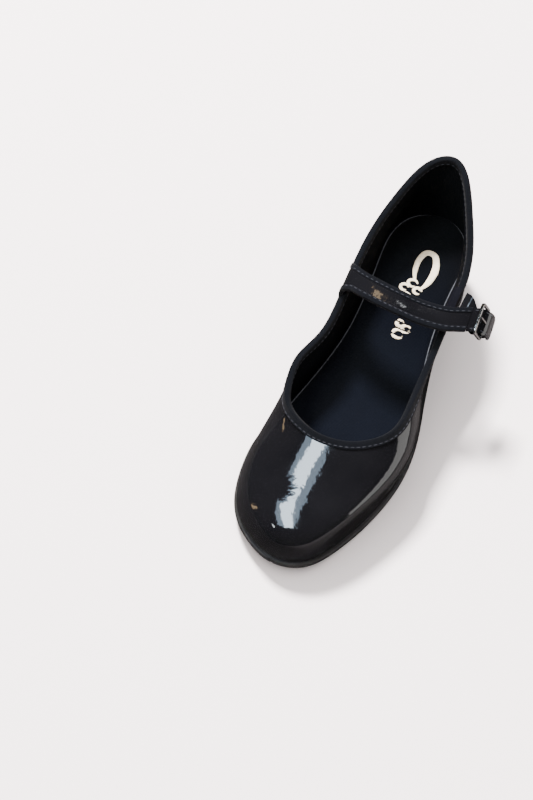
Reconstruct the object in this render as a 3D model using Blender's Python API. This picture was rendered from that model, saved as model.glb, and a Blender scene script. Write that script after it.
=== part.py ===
"""Child's Mary-Jane tap shoe for the left foot, as separate pieces.

Sizes are in millimetres and meshes are made in metres. The shoe stands on its two
taps: the toe points to -Y, the heel to +Y, the outer side of the foot is +X.
"""

import math

import bmesh
import bpy
import numpy as np
from mathutils import Matrix, Vector

MM = 0.001

# Driving sizes
SHOE_LENGTH = 215.0  # toe to heel along the feather line, where the upper turns under
BALL_WIDTH = 74.0  # across the feather line at the ball of the foot
BACK_HEIGHT = 78.0  # topline over the floor at the back of the heel
HEEL_RISE = 18.0  # how much the heel seat stands above the ball
TOE_SPRING = 3.0  # how much the toe lifts off the floor
TOE_SPRING_LENGTH = 42.0

# Clearances
GAP = 0.3  # between pieces that touch
LAYER_GAP = 0.25  # between the sewn layers of the upper
STRAP_GAP = 0.2  # between the layers of the strap and under a binding

# Layers of the upper, from the outside in
UPPER_THICK = 1.1
STIFFENER_THICK = 0.9
LINING_THICK = 0.7
BINDING_THICK = 0.4
BINDING_HEIGHT = 3.2
BACK_STAY_THICK = 0.9
BACK_STAY_WIDTH = 12.0
UPPER_MARGIN = 9.0  # how far each layer is lasted under the insole board
STIFFENER_MARGIN = 6.0
LINING_MARGIN = 7.0

# Bottom, from the floor up
TAP_THICK = 2.2
TAP_BOARD_THICK = 1.0
OUTSOLE_THICK = 3.5
INSOLE_BOARD_THICK = 1.8
SOCK_THICK = 2.4
TOP_PIECE_THICK = 4.0
SOLE_EDGE = 0.6  # how far the outsole shows past the feather line
TAP_INSET = 2.5  # tap edge inside the outsole edge
HEEL_TAPER = 1.5  # how much the heel narrows towards the floor
FILLER_INSET = 0.6
SHANK_WIDTH = 12.0
SHANK_THICK = 1.2
SHANK_START = 98.0  # distances from the toe
SHANK_END = 174.0
SHANK_X = 1.5

# Fasteners
SCREW_SHANK_RADIUS = 1.5
SCREW_HEAD_RADIUS = 3.0
SCREW_LENGTH = 6.0
HEEL_SCREW_LENGTH = 13.0
SCREW_RECESS = 0.3
NAIL_RADIUS = 1.0
NAIL_HEAD_RADIUS = 2.2
NAIL_HEAD_THICK = 0.7
NAIL_LENGTH = 20.0
RIVET_RADIUS = 1.2
RIVET_HEAD_RADIUS = 2.4
RIVET_HEAD_THICK = 0.6

# Strap and buckle
STRAP_WIDTH = 12.7
STRAP_PATENT_THICK = 1.0
STRAP_BACKING_THICK = 0.7
STRAP_END_THICK = 1.6
STRAP_BINDING_WIDTH = 2.6
PUNCHED_HOLE_RADIUS = 1.0
BUCKLE_WIRE = 0.9
BUCKLE_OPENING = 9.4  # bar centre to rim centre
BUCKLE_CORNER = 1.6
PRONG_WIRE = 0.55
CHAPE_THICK = 0.8
CHAPE_WIDTH = 12.0
CHAPE_SLOT_RADIUS = 4.6
ELASTIC_THICK = 1.0
ANCHOR_THICK = 0.9
ANCHOR_DEPTH = 0.24  # share of the wall's curve that the strap's sewn end covers

AROUND = 48  # facets round the shoe
WELD = 0.02  # corners that a cut leaves closer than this are one corner
FACET_TURN = 0.31  # turns round pieces off the rungs' own edges, for clean cuts
TABLE_LENGTH, TABLE_WIDTH, TABLE_HEIGHT = 215.0, 74.0, 78.0
TAPE_GAP = STRAP_GAP * SHOE_LENGTH / TABLE_LENGTH  # a longer shoe has longer facets

# Stations round the shoe, from the back over the outer side to the toe and back:
# feather line x and y, topline x, y and z, then the wall's two tangent handles:
# outward lean at the feather and length, drop angle at the topline and length.
# They are drawn for a shoe of TABLE_LENGTH, TABLE_WIDTH and TABLE_HEIGHT.
STATIONS = np.array([
    (0.0, 213.0, 0.0, 213.5, 78.0, 8, 18, 90, 20),
    (16.0, 206.0, 11.0, 206.0, 76.0, 8, 18, 91, 20),
    (24.0, 188.0, 21.5, 187.5, 69.0, 7, 16, 94, 18),
    (24.0, 165.0, 30.0, 165.0, 61.0, 7, 14, 96, 15),
    (26.0, 135.0, 31.5, 137.0, 54.0, 11, 14, 98, 14),
    (33.5, 105.0, 32.5, 111.5, 50.0, 7, 15, 98, 15),
    (37.5, 78.0, 32.5, 91.0, 47.5, 2, 18, 56, 18),
    (34.0, 50.0, 31.0, 74.5, 45.5, 0, 22, 42, 24),
    (24.0, 21.5, 22.0, 63.5, 44.5, -1, 26, 31, 32),
    (13.5, 7.0, 11.0, 58.0, 44.0, -1, 26, 27, 34),
    (-0.5, 3.2, -1.0, 56.5, 44.0, -2, 26, 29, 34),
    (-15.0, 8.5, -12.0, 59.0, 44.5, -6, 26, 40, 34),
    (-30.0, 24.0, -22.0, 65.0, 45.5, -12, 26, 62, 32),
    (-36.5, 50.0, -27.0, 76.5, 46.5, -15, 22, 80, 24),
    (-35.0, 72.0, -28.0, 91.5, 48.0, -11, 18, 91, 18),
    (-28.0, 105.0, -23.5, 109.5, 48.5, -1, 15, 105, 15),
    (-21.0, 135.0, -23.5, 134.5, 53.5, 7, 14, 104, 14),
    (-22.0, 165.0, -23.5, 163.0, 61.0, 6, 14, 99, 15),
    (-24.0, 188.0, -19.0, 187.0, 69.0, 7, 16, 94, 18),
    (-17.0, 206.0, -11.5, 206.0, 75.5, 8, 18, 91, 20),
])
WALL_ROWS = (0.14, 0.30, 0.46, 0.60, 0.72, 0.82, 0.91, 1.0)
STIFFENER_TOP = 5  # the stiffeners stop at this row and the lining closes in above it
PUFF_TOP = 3

# Facet numbers round the shoe where pieces begin and end
PUFF = (18, 30)
LATERAL_INTERLINING = (9, 17)
MEDIAL_INTERLINING = (31, 39)
COUNTER = (40, 56)
TAP_BACK = 16  # rungs run from the back (0) to the toe tip (AROUND / 2)
FILLER_BACK = 13
HEEL_BREAST = 8
HEEL_TAP_FRONT = 7

# Screws, nails and rivets: x and distance from the toe
TOE_SCREWS = ((-17.0, 49.0), (18.0, 49.0), (-1.0, 20.0))
HEEL_SCREWS = ((-12.0, 183.0), (12.0, 183.0), (0.6, 202.0))
HEEL_NAILS = ((-9.5, 176.0), (11.0, 176.0), (-6.0, 194.0), (6.0, 194.0))
SHANK_RIVETS = ((1.5, 112.0), (1.5, 160.0))


def on_last(x, y, z):
    """A point drawn on the table's shoe, moved onto this size of shoe."""
    return (x * BALL_WIDTH / TABLE_WIDTH, y * SHOE_LENGTH / TABLE_LENGTH,
            z * BACK_HEIGHT / TABLE_HEIGHT)


# Strap: the middle of its thickness, point by point, and the way its width lies
STRAP_PATH = (
    (-24.3, 137.5, 57.8, 0.00, 0.97, 0.24),
    (-20.2, 135.6, 60.6, 0.00, 0.98, 0.17),
    (-11.0, 132.8, 62.6, 0.00, 1.00, 0.10),
    (4.0, 130.6, 63.2, 0.00, 1.00, 0.08),
    (18.0, 129.9, 62.8, 0.00, 1.00, 0.09),
    (30.0, 131.5, 62.4, -0.05, 0.98, 0.18),
    (37.0, 134.6, 62.0, -0.08, 0.95, 0.27),
    (41.0, 136.8, 61.4, -0.08, 0.95, 0.30),
)
STRAP_PIVOT = Vector(on_last(-24.3, 137.5, 57.6))  # on the line that the strap lifts about

# Buckle: middle of the bar, the way up to the rim, and the way along the bar
BAR_CENTRE = Vector(on_last(48.2, 140.3, 56.4))
BAR_WAY = Vector((-0.08, 0.95, 0.30)).normalized()
RIM_WAY = Vector((-0.29, -0.30, 0.91))
RIM_WAY = (RIM_WAY - RIM_WAY.dot(BAR_WAY) * BAR_WAY).normalized()
BUCKLE_OUT = BAR_WAY.cross(RIM_WAY).normalized()

# The strap's loose end through the buckle: steps from the bar up to the rim, and out
END_PATH = ((5.9, -1.9), (4.9, 0.4), (2.3, 2.7), (-0.5, 3.7), (-5.0, 3.9), (-10.0, 3.6))
PUNCHED_HOLES = ((-4.0, 3.9), (-8.0, 3.7))

# Chape, from the topline to the bar, with the way its width lies
CHAPE_PATH = (
    (34.4, 145.2, 59.9, 0.05, 0.95, 0.28),
    (38.0, 143.2, 60.6, 0.05, 0.92, 0.36),
)
CHAPE_WAY = Vector((-0.96, 0.0, 0.24))  # from the bar back towards the shoe
CHAPE_WAY = (CHAPE_WAY - CHAPE_WAY.dot(BAR_WAY) * BAR_WAY).normalized()
CHAPE_STRAIGHT = (5.6, 3.0)  # straight stretch before the loop, from the bar's middle
CHAPE_PIVOT = Vector(on_last(33.6, 145.4, 59.3))
HEEL_STATION_STEP = 17.0  # length of one station round the back of the heel
ELASTIC_STATION = 3.65
ELASTIC_SPAN = 0.22  # stations to either side of the elastic's middle
ANCHOR_STATION = 16.12
ANCHOR_SPAN = 0.22

FORE_HEIGHT = TAP_THICK + TAP_BOARD_THICK + OUTSOLE_THICK + 3 * GAP
STIFFENER_DEPTH = UPPER_THICK + LAYER_GAP
LINING_DEPTH = STIFFENER_DEPTH + STIFFENER_THICK + LAYER_GAP
INSOLE_BOTTOM = LINING_DEPTH + LINING_THICK + GAP
BOARD_TOP = INSOLE_BOTTOM + INSOLE_BOARD_THICK
SOCK_BOTTOM = BOARD_TOP + GAP
TOE_RUNG = AROUND // 2

COLOURS = {
    "patent": ((0.008, 0.008, 0.009), 0.08, 0.0),
    "lining": ((0.012, 0.013, 0.018), 0.8, 0.0),
    "stiffener": ((0.45, 0.36, 0.24), 0.9, 0.0),
    "binding": ((0.02, 0.022, 0.03), 0.75, 0.0),
    "sock": ((0.012, 0.016, 0.03), 0.85, 0.0),
    "board": ((0.38, 0.25, 0.14), 0.9, 0.0),
    "cork": ((0.42, 0.27, 0.15), 0.95, 0.0),
    "sole": ((0.02, 0.02, 0.02), 0.55, 0.0),
    "steel": ((0.5, 0.5, 0.52), 0.35, 1.0),
    "tap": ((0.72, 0.72, 0.74), 0.3, 1.0),
    "buckle": ((0.75, 0.75, 0.77), 0.15, 1.0),
    "elastic": ((0.015, 0.015, 0.018), 0.85, 0.0),
}


def smooth(start, end, value):
    share = np.clip((value - start) / (end - start), 0.0, 1.0)
    return share * share * (3.0 - 2.0 * share)


def toe_lift(y):
    """Height that the toe spring adds at a distance from the toe."""
    return TOE_SPRING * (1.0 - smooth(0.0, TOE_SPRING_LENGTH, y))


def bottom_height(y):
    """Height of the feather line over the floor."""
    along = y / SHOE_LENGTH * TABLE_LENGTH
    return FORE_HEIGHT + toe_lift(y) + HEEL_RISE * smooth(95.0, 172.0, along)


def periodic_spline(values, u):
    """Smooth closed curve through the rows of values, read at u in rows."""
    count = len(values)
    matrix = 4.0 * np.eye(count)
    matrix += np.roll(np.eye(count), 1, axis=1) + np.roll(np.eye(count), -1, axis=1)
    slopes = 3.0 * (np.roll(values, -1, axis=0) - np.roll(values, 1, axis=0))
    slopes = np.linalg.solve(matrix, slopes)
    u = np.asarray(u, float) % count
    low = np.floor(u).astype(int) % count
    high = (low + 1) % count
    t = (u - np.floor(u))[:, None]
    start = values[low] * (2 * t**3 - 3 * t**2 + 1) + slopes[low] * (t**3 - 2 * t**2 + t)
    return start + values[high] * (3 * t**2 - 2 * t**3) + slopes[high] * (t**3 - t**2)


def scaled_stations():
    table = STATIONS.copy()
    table[:, (0, 2)] *= BALL_WIDTH / TABLE_WIDTH
    table[:, (1, 3)] *= SHOE_LENGTH / TABLE_LENGTH
    table[:, (4, 6, 8)] *= BACK_HEIGHT / TABLE_HEIGHT
    return table


TABLE = scaled_stations()


def plan_normals(points, ahead):
    """Unit vectors in plan that point out of the outline."""
    step = ahead[:, :2] - points[:, :2]
    normals = np.column_stack([-step[:, 1], step[:, 0]])
    return normals / np.linalg.norm(normals, axis=1, keepdims=True)


def wall_handles(u):
    """The four Bezier handles of the wall at each station number u."""
    here = periodic_spline(TABLE, u)
    near = periodic_spline(TABLE, np.asarray(u, float) + 0.01)
    out_foot = plan_normals(here[:, 0:2], near[:, 0:2])
    out_top = plan_normals(here[:, 2:4], near[:, 2:4])
    lean = np.radians(here[:, 5])
    drop = np.radians(here[:, 7])
    foot = np.column_stack([here[:, 0:2], bottom_height(here[:, 1])])
    rise = np.column_stack([out_foot * np.sin(lean)[:, None], np.cos(lean)])
    fall = np.column_stack([out_top * np.cos(drop)[:, None], -np.sin(drop)])
    top = here[:, 2:5]
    return foot, foot + rise * here[:, 6:7], top + fall * here[:, 8:9], top, out_foot


def wall_point(handles, t):
    a, b, c, d = handles[:4]
    s = 1.0 - t
    return s**3 * a + 3 * s * s * t * b + 3 * s * t * t * c + t**3 * d


def wall(u, t, depth=0.0):
    """Points of the upper's outer face at stations u and height share t, moved inwards."""
    u = np.atleast_1d(np.asarray(u, float))
    here = wall_point(wall_handles(u), t)
    if not np.any(depth):
        return here
    ahead = wall_point(wall_handles(u + 0.02), t)
    back = wall_point(wall_handles(u - 0.02), t)
    up = wall_point(wall_handles(u), t + 0.01) - wall_point(wall_handles(u), t - 0.01)
    out = np.cross(up, ahead - back)
    out /= np.linalg.norm(out, axis=1, keepdims=True)
    return here - out * depth


def foot_point(u, inset, lift):
    """Points beside the feather line, moved inwards in plan and up."""
    foot, _, _, _, out = wall_handles(np.atleast_1d(np.asarray(u, float)))
    plan = foot[:, :2] - out * inset
    return np.column_stack([plan, bottom_height(plan[:, 1]) + lift])


def facet_stations(first=0, last=AROUND - 1):
    return np.arange(first, last + 1) * len(STATIONS) / AROUND


def layer_rows(u, depth, margin, rows, closing=0.0):
    """One face of a lasted layer: margin edge, corner, then up the wall."""
    face = [foot_point(u, margin, depth), foot_point(u, depth, depth)]
    for index in range(rows):
        t = WALL_ROWS[index]
        pull = closing * smooth(WALL_ROWS[STIFFENER_TOP - 1], WALL_ROWS[-2], t)
        face.append(wall(u, t, depth - pull))
    return np.stack(face, axis=1)


def strip_ring(outer, inner):
    """Sections of a strip: out along one face and back along the other."""
    return np.concatenate([outer, inner[:, ::-1]], axis=1)


def add_object(name, mesh, material, pivot=(0.0, 0.0, 0.0), cutter=False):
    node = bpy.data.objects.new(name, mesh)
    bpy.context.scene.collection.objects.link(node)
    node.parent = bpy.data.objects["tap_shoe"]
    node.location = Vector(pivot) * MM
    if cutter:
        node.hide_render = True
        node.display_type = "WIRE"
    else:
        mesh.materials.append(bpy.data.materials[material])
        mesh.shade_smooth()
        mesh.set_sharp_from_angle(angle=math.radians(35))
    return node


def mesh_from(name, points, faces, pivot=(0.0, 0.0, 0.0)):
    mesh = bpy.data.meshes.new(name)
    shape = bmesh.new()
    made = [shape.verts.new((Vector(p) - Vector(pivot)) * MM) for p in points]
    for face in faces:
        shape.faces.new([made[i] for i in face])
    bmesh.ops.remove_doubles(shape, verts=shape.verts[:], dist=1e-7)
    bmesh.ops.dissolve_degenerate(shape, dist=1e-7, edges=shape.edges[:])
    bmesh.ops.recalc_face_normals(shape, faces=shape.faces[:])
    if shape.calc_volume(signed=True) < 0:
        bmesh.ops.reverse_faces(shape, faces=shape.faces[:])
    bmesh.ops.triangulate(shape, faces=shape.faces[:])
    shape.to_mesh(mesh)
    shape.free()
    return mesh


def loft(name, sections, material, closed=False, caps=(True, True), pivot=(0, 0, 0)):
    """Skin over sections, each a strip ring; open lofts get a strip of caps."""
    sections = np.asarray(sections, float)
    count, size = sections.shape[:2]
    faces = []
    for i in range(count if closed else count - 1):
        j = (i + 1) % count
        for k in range(size):
            m = (k + 1) % size
            faces.append((i * size + k, i * size + m, j * size + m, j * size + k))
    if not closed:
        for end, wanted in ((0, caps[0]), (count - 1, caps[1])):
            for k in range(size // 2 - 1 if wanted else 0):
                corners = (k, k + 1, size - 2 - k, size - 1 - k)
                faces.append(tuple(end * size + corner for corner in corners))
    mesh = mesh_from(name, sections.reshape(-1, 3), faces, pivot)
    return add_object(name, mesh, material, pivot)


def turned(name, profile, base, way, material, sides=12, cutter=False, pivot=(0, 0, 0)):
    """Solid of revolution: (radius, height) pairs from the axis out and back to it."""
    turn = Vector((0, 0, 1)).rotation_difference(Vector(way)).to_matrix()
    points = []
    faces = []
    for radius, height in profile:
        for k in range(sides):
            angle = 2 * math.pi * (k + FACET_TURN) / sides
            local = Vector((radius * math.cos(angle), radius * math.sin(angle), height))
            points.append(Vector(base) + turn @ local)
    for i in range(len(profile) - 1):
        for k in range(sides):
            m = (k + 1) % sides
            faces.append((i * sides + k, i * sides + m, (i + 1) * sides + m, (i + 1) * sides + k))
    mesh = mesh_from(name, points, faces, pivot)
    return add_object(name, mesh, material, pivot, cutter)


def cut(node, cutter):
    step = node.modifiers.new(cutter.name, "BOOLEAN")
    step.operation = "DIFFERENCE"
    step.solver = "EXACT"
    step.object = cutter
    tidy = node.modifiers.new(cutter.name + "_weld", "WELD")
    tidy.merge_threshold = WELD * MM


def plate(name, rungs, low, high, material, ends, bow=0.0, columns=2):
    """Flat piece made of rungs from side to side; low and high give its two faces."""
    first, last = rungs
    left = np.arange(first, last + 1)
    sections = []
    for k in left:
        across = np.linspace(0.0, 1.0, columns + 1)
        back = 1.0 - min(1.0, abs(k - ends) / 3.0) if ends is not None else 0.0
        shift = bow * back * (1.0 - (2.0 * across - 1.0) ** 2)
        faces = []
        for ring in (high, low):
            a, b = ring[k % AROUND], ring[-k % AROUND]
            row = a + (b - a) * across[:, None]
            row[:, 1] += shift
            faces.append(row)
        sections.append(np.concatenate([faces[0], faces[1][::-1]]))
    caps = (first != 0, last != TOE_RUNG)
    return loft(name, sections, material, caps=caps)


def sole_ring(inset, height):
    """Outline beside the feather line, at a height given as a function of y."""
    ring = foot_point(facet_stations(), inset, 0.0)
    ring[:, 2] = height(ring[:, 1])
    return ring


def inner_ring(lift, clearance):
    """Outline of the room inside the lining at a height over the feather line."""
    u = facet_stations()
    depth = LINING_DEPTH + LINING_THICK
    face = layer_rows(u, depth, depth + 1.0, len(WALL_ROWS))[:, 1:]
    out = wall_handles(u)[4]
    level = bottom_height(face[:, 0, 1]) + lift
    ring = []
    for column, z, normal in zip(face, level, out):
        spot = [np.interp(z, column[:, 2], column[:, axis]) for axis in (0, 1)]
        spot = np.array(spot) - normal * clearance
        ring.append((spot[0], spot[1], z))
    ring = np.array(ring)
    ring[:, 2] = bottom_height(ring[:, 1]) + lift
    return ring


def fore_level(lift):
    return lambda y: FORE_HEIGHT + toe_lift(y) + lift


def smooth_path(controls, steps):
    """Catmull-Rom curve through the controls, steps to each stretch."""
    rows = np.asarray(controls, float)
    rows = np.vstack([2 * rows[0] - rows[1], rows, 2 * rows[-1] - rows[-2]])
    made = []
    for i in range(1, len(rows) - 2):
        a, b, c, d = rows[i - 1 : i + 3]
        for t in np.arange(steps) / steps:
            curve = 2 * b + (c - a) * t + (2 * a - 5 * b + 4 * c - d) * t * t
            made.append(0.5 * (curve + (3 * b - a - 3 * c + d) * t**3))
    made.append(rows[-2])
    return np.array(made)


def band_frames(path):
    """Middle, width and thickness directions along a path of x, y, z and width way."""
    middle = path[:, :3]
    along = np.gradient(middle, axis=0)
    along /= np.linalg.norm(along, axis=1, keepdims=True)
    width = path[:, 3:6] / np.linalg.norm(path[:, 3:6], axis=1, keepdims=True)
    up = np.cross(along, width)
    return middle, width, up / np.linalg.norm(up, axis=1, keepdims=True)


def band_sections(path, outer, inner):
    """Sections whose faces are lists of (across, up) pairs, one list to each face."""
    middle, width, up = band_frames(path)
    faces = []
    for pairs in (outer, inner):
        face = [middle + width * across + up * lift for across, lift in pairs]
        faces.append(np.stack(face, axis=1))
    return strip_ring(*faces)


def flat_band(name, path, across, low, high, material, pivot):
    outer = [(-across, high), (0.0, high), (across, high)]
    inner = [(-across, low), (0.0, low), (across, low)]
    return loft(name, band_sections(path, outer, inner), material, pivot=pivot)


def wire(name, path, radius, material, closed, pivot, sides=8):
    """Round wire along a path that lies in a plane across BAR_WAY or along it."""
    path = np.asarray(path, float)
    along = np.roll(path, -1, 0) - np.roll(path, 1, 0) if closed else np.gradient(path, axis=0)
    along /= np.linalg.norm(along, axis=1, keepdims=True)
    flat = np.array(BUCKLE_OUT if closed else BAR_WAY)
    side = np.cross(along, flat)
    side /= np.linalg.norm(side, axis=1, keepdims=True)
    angles = 2 * np.pi * (np.arange(sides) + 0.5) / sides
    turn = np.cos(angles)[None, :, None] * side[:, None] + np.sin(angles)[None, :, None] * flat
    return loft(name, path[:, None] + radius * turn, material, closed=closed, pivot=pivot)


def build_upper():
    u = facet_stations()
    rows = len(WALL_ROWS)
    closing = LINING_DEPTH - STIFFENER_DEPTH
    outer = layer_rows(u, 0.0, UPPER_MARGIN, rows)
    inner = layer_rows(u, UPPER_THICK, UPPER_MARGIN, rows)
    loft("upper_shell", strip_ring(outer, inner), "patent", closed=True)
    outer = layer_rows(u, LINING_DEPTH, LINING_MARGIN, rows, closing)
    inner = layer_rows(u, LINING_DEPTH + LINING_THICK, LINING_MARGIN, rows, closing)
    loft("upper_lining", strip_ring(outer, inner), "lining", closed=True)
    stiffeners = (
        ("toe_puff", PUFF, PUFF_TOP),
        ("interlining_lateral", LATERAL_INTERLINING, STIFFENER_TOP),
        ("interlining_medial", MEDIAL_INTERLINING, STIFFENER_TOP),
        ("heel_counter", COUNTER, STIFFENER_TOP),
    )
    for name, span, top in stiffeners:
        u = facet_stations(*span)
        outer = layer_rows(u, STIFFENER_DEPTH, STIFFENER_MARGIN, top)
        inner = layer_rows(u, STIFFENER_DEPTH + STIFFENER_THICK, STIFFENER_MARGIN, top)
        loft(name, strip_ring(outer, inner), "stiffener")


def top_edge(u, depth, lift):
    """Points over the topline, at a depth from the outer face."""
    edge = wall(u, 1.0, depth)
    way = edge - wall(u, 0.97, depth)
    reach = np.linalg.norm(way, axis=1, keepdims=True)
    if lift < 0.0:  # down the wall, along its own curve
        return wall(u, 1.0 + 0.03 * lift / reach, depth)
    return edge + way / reach * lift


def build_binding():
    """Tape folded over the upper and the lining together."""
    u = facet_stations()
    cuff = UPPER_THICK + LAYER_GAP + LINING_THICK
    faces = []
    for off, share, rise in ((TAPE_GAP + BINDING_THICK, 0.4, 0.75), (TAPE_GAP, 0.5, 1.0)):
        profile = (
            (-off, -BINDING_HEIGHT), (-off, 0.0), (-off * share, off * rise), (cuff / 2, off),
            (cuff + off * share, off * rise), (cuff + off, 0.0), (cuff + off, -BINDING_HEIGHT),
        )
        faces.append(np.stack([top_edge(u, depth, lift) for depth, lift in profile], axis=1))
    loft("topline_binding", strip_ring(*faces), "binding", closed=True)


def build_back_stay():
    """Strip sewn over the back seam, between the binding and the feather line."""
    half = BACK_STAY_WIDTH / 2 / HEEL_STATION_STEP
    u = np.linspace(-half, half, 7)
    shares = (0.05, 0.14, 0.30, 0.46, 0.60, 0.72, 0.82, 0.88)
    near = -GAP
    outer = np.stack([wall(u, t, near - BACK_STAY_THICK) for t in shares], axis=1)
    inner = np.stack([wall(u, t, near) for t in shares], axis=1)
    loft("back_stay", strip_ring(outer, inner), "patent")


def build_bottom():
    outsole = plate(
        "outsole", (0, TOE_RUNG),
        sole_ring(-SOLE_EDGE, lambda y: bottom_height(y) - GAP - OUTSOLE_THICK),
        sole_ring(-SOLE_EDGE, lambda y: bottom_height(y) - GAP), "sole", None)
    board = plate(
        "insole_board", (0, TOE_RUNG), inner_ring(INSOLE_BOTTOM, GAP),
        inner_ring(BOARD_TOP, GAP), "board", None)
    plate(
        "sock_lining", (0, TOE_RUNG), inner_ring(SOCK_BOTTOM, GAP),
        inner_ring(SOCK_BOTTOM + SOCK_THICK, GAP), "sock", None)
    inset = UPPER_MARGIN + FILLER_INSET
    plate(
        "bottom_filler", (FILLER_BACK, TOE_RUNG),
        sole_ring(inset, lambda y: bottom_height(y)),
        sole_ring(inset, lambda y: bottom_height(y) + INSOLE_BOTTOM - GAP), "cork", None)
    shank = build_shank()
    return outsole, board, shank


def build_shank():
    sections = []
    top = INSOLE_BOTTOM - GAP
    for y in np.linspace(SHANK_START, SHANK_END, 14) * SHOE_LENGTH / TABLE_LENGTH:
        z = float(bottom_height(y)) + top
        left, right = SHANK_X - SHANK_WIDTH / 2, SHANK_X + SHANK_WIDTH / 2
        low = z - SHANK_THICK
        sections.append([(left, y, z), (right, y, z), (right, y, low), (left, y, low)])
    return loft("shank", sections, "steel")


def build_heel():
    base = TAP_THICK + GAP
    edge = TAP_INSET - SOLE_EDGE
    span = (0, HEEL_BREAST)
    heel_tap = plate(
        "heel_tap_plate", (0, HEEL_TAP_FRONT),
        sole_ring(edge + HEEL_TAPER, lambda y: 0.0 * y),
        sole_ring(edge + HEEL_TAPER, lambda y: TAP_THICK + 0.0 * y), "tap", HEEL_TAP_FRONT, 4.0, 6)
    block_base = base + TOP_PIECE_THICK + GAP
    inset = HEEL_TAPER - SOLE_EDGE
    top_piece = plate(
        "heel_top_piece", span,
        sole_ring(inset, lambda y: base + 0.0 * y),
        sole_ring(inset, lambda y: base + TOP_PIECE_THICK + 0.0 * y), "sole", HEEL_BREAST, 2.0, 4)
    block = plate(
        "heel_block", span,
        sole_ring(inset, lambda y: block_base + 0.0 * y),
        sole_ring(0.5 - SOLE_EDGE, lambda y: bottom_height(y) - 2 * GAP - OUTSOLE_THICK),
        "sole", HEEL_BREAST, 2.0, 4)
    return heel_tap, top_piece, block


def build_toe_tap():
    edge = TAP_INSET - SOLE_EDGE
    span = (TAP_BACK, TOE_RUNG)
    plate_top = TAP_THICK - FORE_HEIGHT
    board_low = plate_top + GAP
    tap = plate(
        "toe_tap_plate", span, sole_ring(edge, fore_level(-FORE_HEIGHT)),
        sole_ring(edge, fore_level(plate_top)), "tap", TAP_BACK, -7.0, 6)
    board = plate(
        "toe_tap_board", span, sole_ring(edge, fore_level(board_low)),
        sole_ring(edge, fore_level(board_low + TAP_BOARD_THICK)), "board", TAP_BACK, -7.0, 6)
    return tap, board


def screw_profile(length, grow):
    head = SCREW_HEAD_RADIUS + grow
    shank = SCREW_SHANK_RADIUS + grow
    low = -3.0 if grow else 0.0
    cone = SCREW_HEAD_RADIUS - SCREW_SHANK_RADIUS
    return [(0, low), (head, low), (head, 0.15 + grow), (shank, 0.15 + cone + grow),
            (shank, length - 1.0), (0, length + grow)]


def surface_spot(spot, height):
    """Point on a surface given by its height at a distance from the toe, and its normal."""
    x = spot[0] * BALL_WIDTH / TABLE_WIDTH
    y = spot[1] * SHOE_LENGTH / TABLE_LENGTH
    slope = float(height(y + 0.5) - height(y - 0.5))
    return Vector((x, y, float(height(y)))), Vector((0.0, -slope, 1.0)).normalized()


def drive_screw(name, spot, length, pieces, height):
    """Countersunk screw from below, with its hole through the pieces."""
    base, way = surface_spot(spot, height)
    base += way * SCREW_RECESS
    turned(name, screw_profile(length, 0.0), base, way, "steel", pivot=base)
    cutter = turned(name + "_hole", screw_profile(length, GAP), base, way, "", cutter=True)
    for piece in pieces:
        cut(piece, cutter)


def build_fasteners(outsole, board, shank, toe, heel):
    for index, spot in enumerate(TOE_SCREWS, 1):
        drive_screw(f"toe_tap_screw_{index}", spot, SCREW_LENGTH, (*toe, outsole), toe_lift)
    for index, spot in enumerate(HEEL_SCREWS, 1):
        drive_screw(f"heel_tap_screw_{index}", spot, HEEL_SCREW_LENGTH, heel, lambda y: 0.0)
    head = NAIL_HEAD_RADIUS, NAIL_HEAD_THICK
    for index, spot in enumerate(HEEL_NAILS, 1):
        pieces = (board, outsole, heel[-1])
        drive_pin(f"heel_nail_{index}", spot, NAIL_LENGTH, NAIL_RADIUS, head, pieces, False)
    head = RIVET_HEAD_RADIUS, RIVET_HEAD_THICK
    grip = INSOLE_BOARD_THICK + SHANK_THICK + 3 * GAP
    for index, spot in enumerate(SHANK_RIVETS, 1):
        drive_pin(f"shank_rivet_{index}", spot, grip, RIVET_RADIUS, head, (board, shank), True)


def drive_pin(name, spot, length, radius, head, pieces, clenched):
    """Headed pin sunk flush into the insole board, pointing down through the pieces."""
    wide, thick = head
    top, way = surface_spot(spot, lambda y: bottom_height(y) + BOARD_TOP)
    profile = [(0, 0), (wide, 0), (wide, thick), (radius, thick), (radius, length)]
    if clenched:
        profile += [(wide, length), (wide, length + thick), (0, length + thick)]
    else:
        profile += [(0, length + radius)]
    turned(name, profile, top, -way, "steel", pivot=top)
    hole = [(0, -1), (wide + GAP, -1), (wide + GAP, thick + GAP), (radius + GAP, thick + GAP),
            (radius + GAP, length + GAP), (0, length + radius + GAP)]
    cutter = turned(name + "_hole", hole, top, -way, "", cutter=True)
    for piece in pieces:
        cut(piece, cutter)


def build_strap():
    path = smooth_path([on_last(*row[:3]) + row[3:] for row in STRAP_PATH], 3)
    half = STRAP_WIDTH / 2
    core = STRAP_PATENT_THICK + STRAP_GAP + STRAP_BACKING_THICK
    top = core / 2
    low = -core / 2
    split = top - STRAP_PATENT_THICK
    flat_band("strap_patent", path, half, split, top, "patent", STRAP_PIVOT)
    flat_band("strap_backing", path, half, low, split - STRAP_GAP, "lining", STRAP_PIVOT)
    near = STRAP_GAP
    far = STRAP_GAP + BINDING_THICK
    lip = half - STRAP_BINDING_WIDTH
    for name, side in (("strap_binding_front", -1), ("strap_binding_rear", 1)):
        outer = [(lip, top + far), (half, top + far), (half + far, top), (half + far, low),
                 (half, low - far), (lip, low - far)]
        inner = [(lip, top + near), (half, top + near), (half + near, top),
                 (half + near, low), (half, low - near), (lip, low - near)]
        outer = [(side * across, lift) for across, lift in outer]
        inner = [(side * across, lift) for across, lift in inner]
        loft(name, band_sections(path, outer, inner), "binding", pivot=STRAP_PIVOT)


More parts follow.
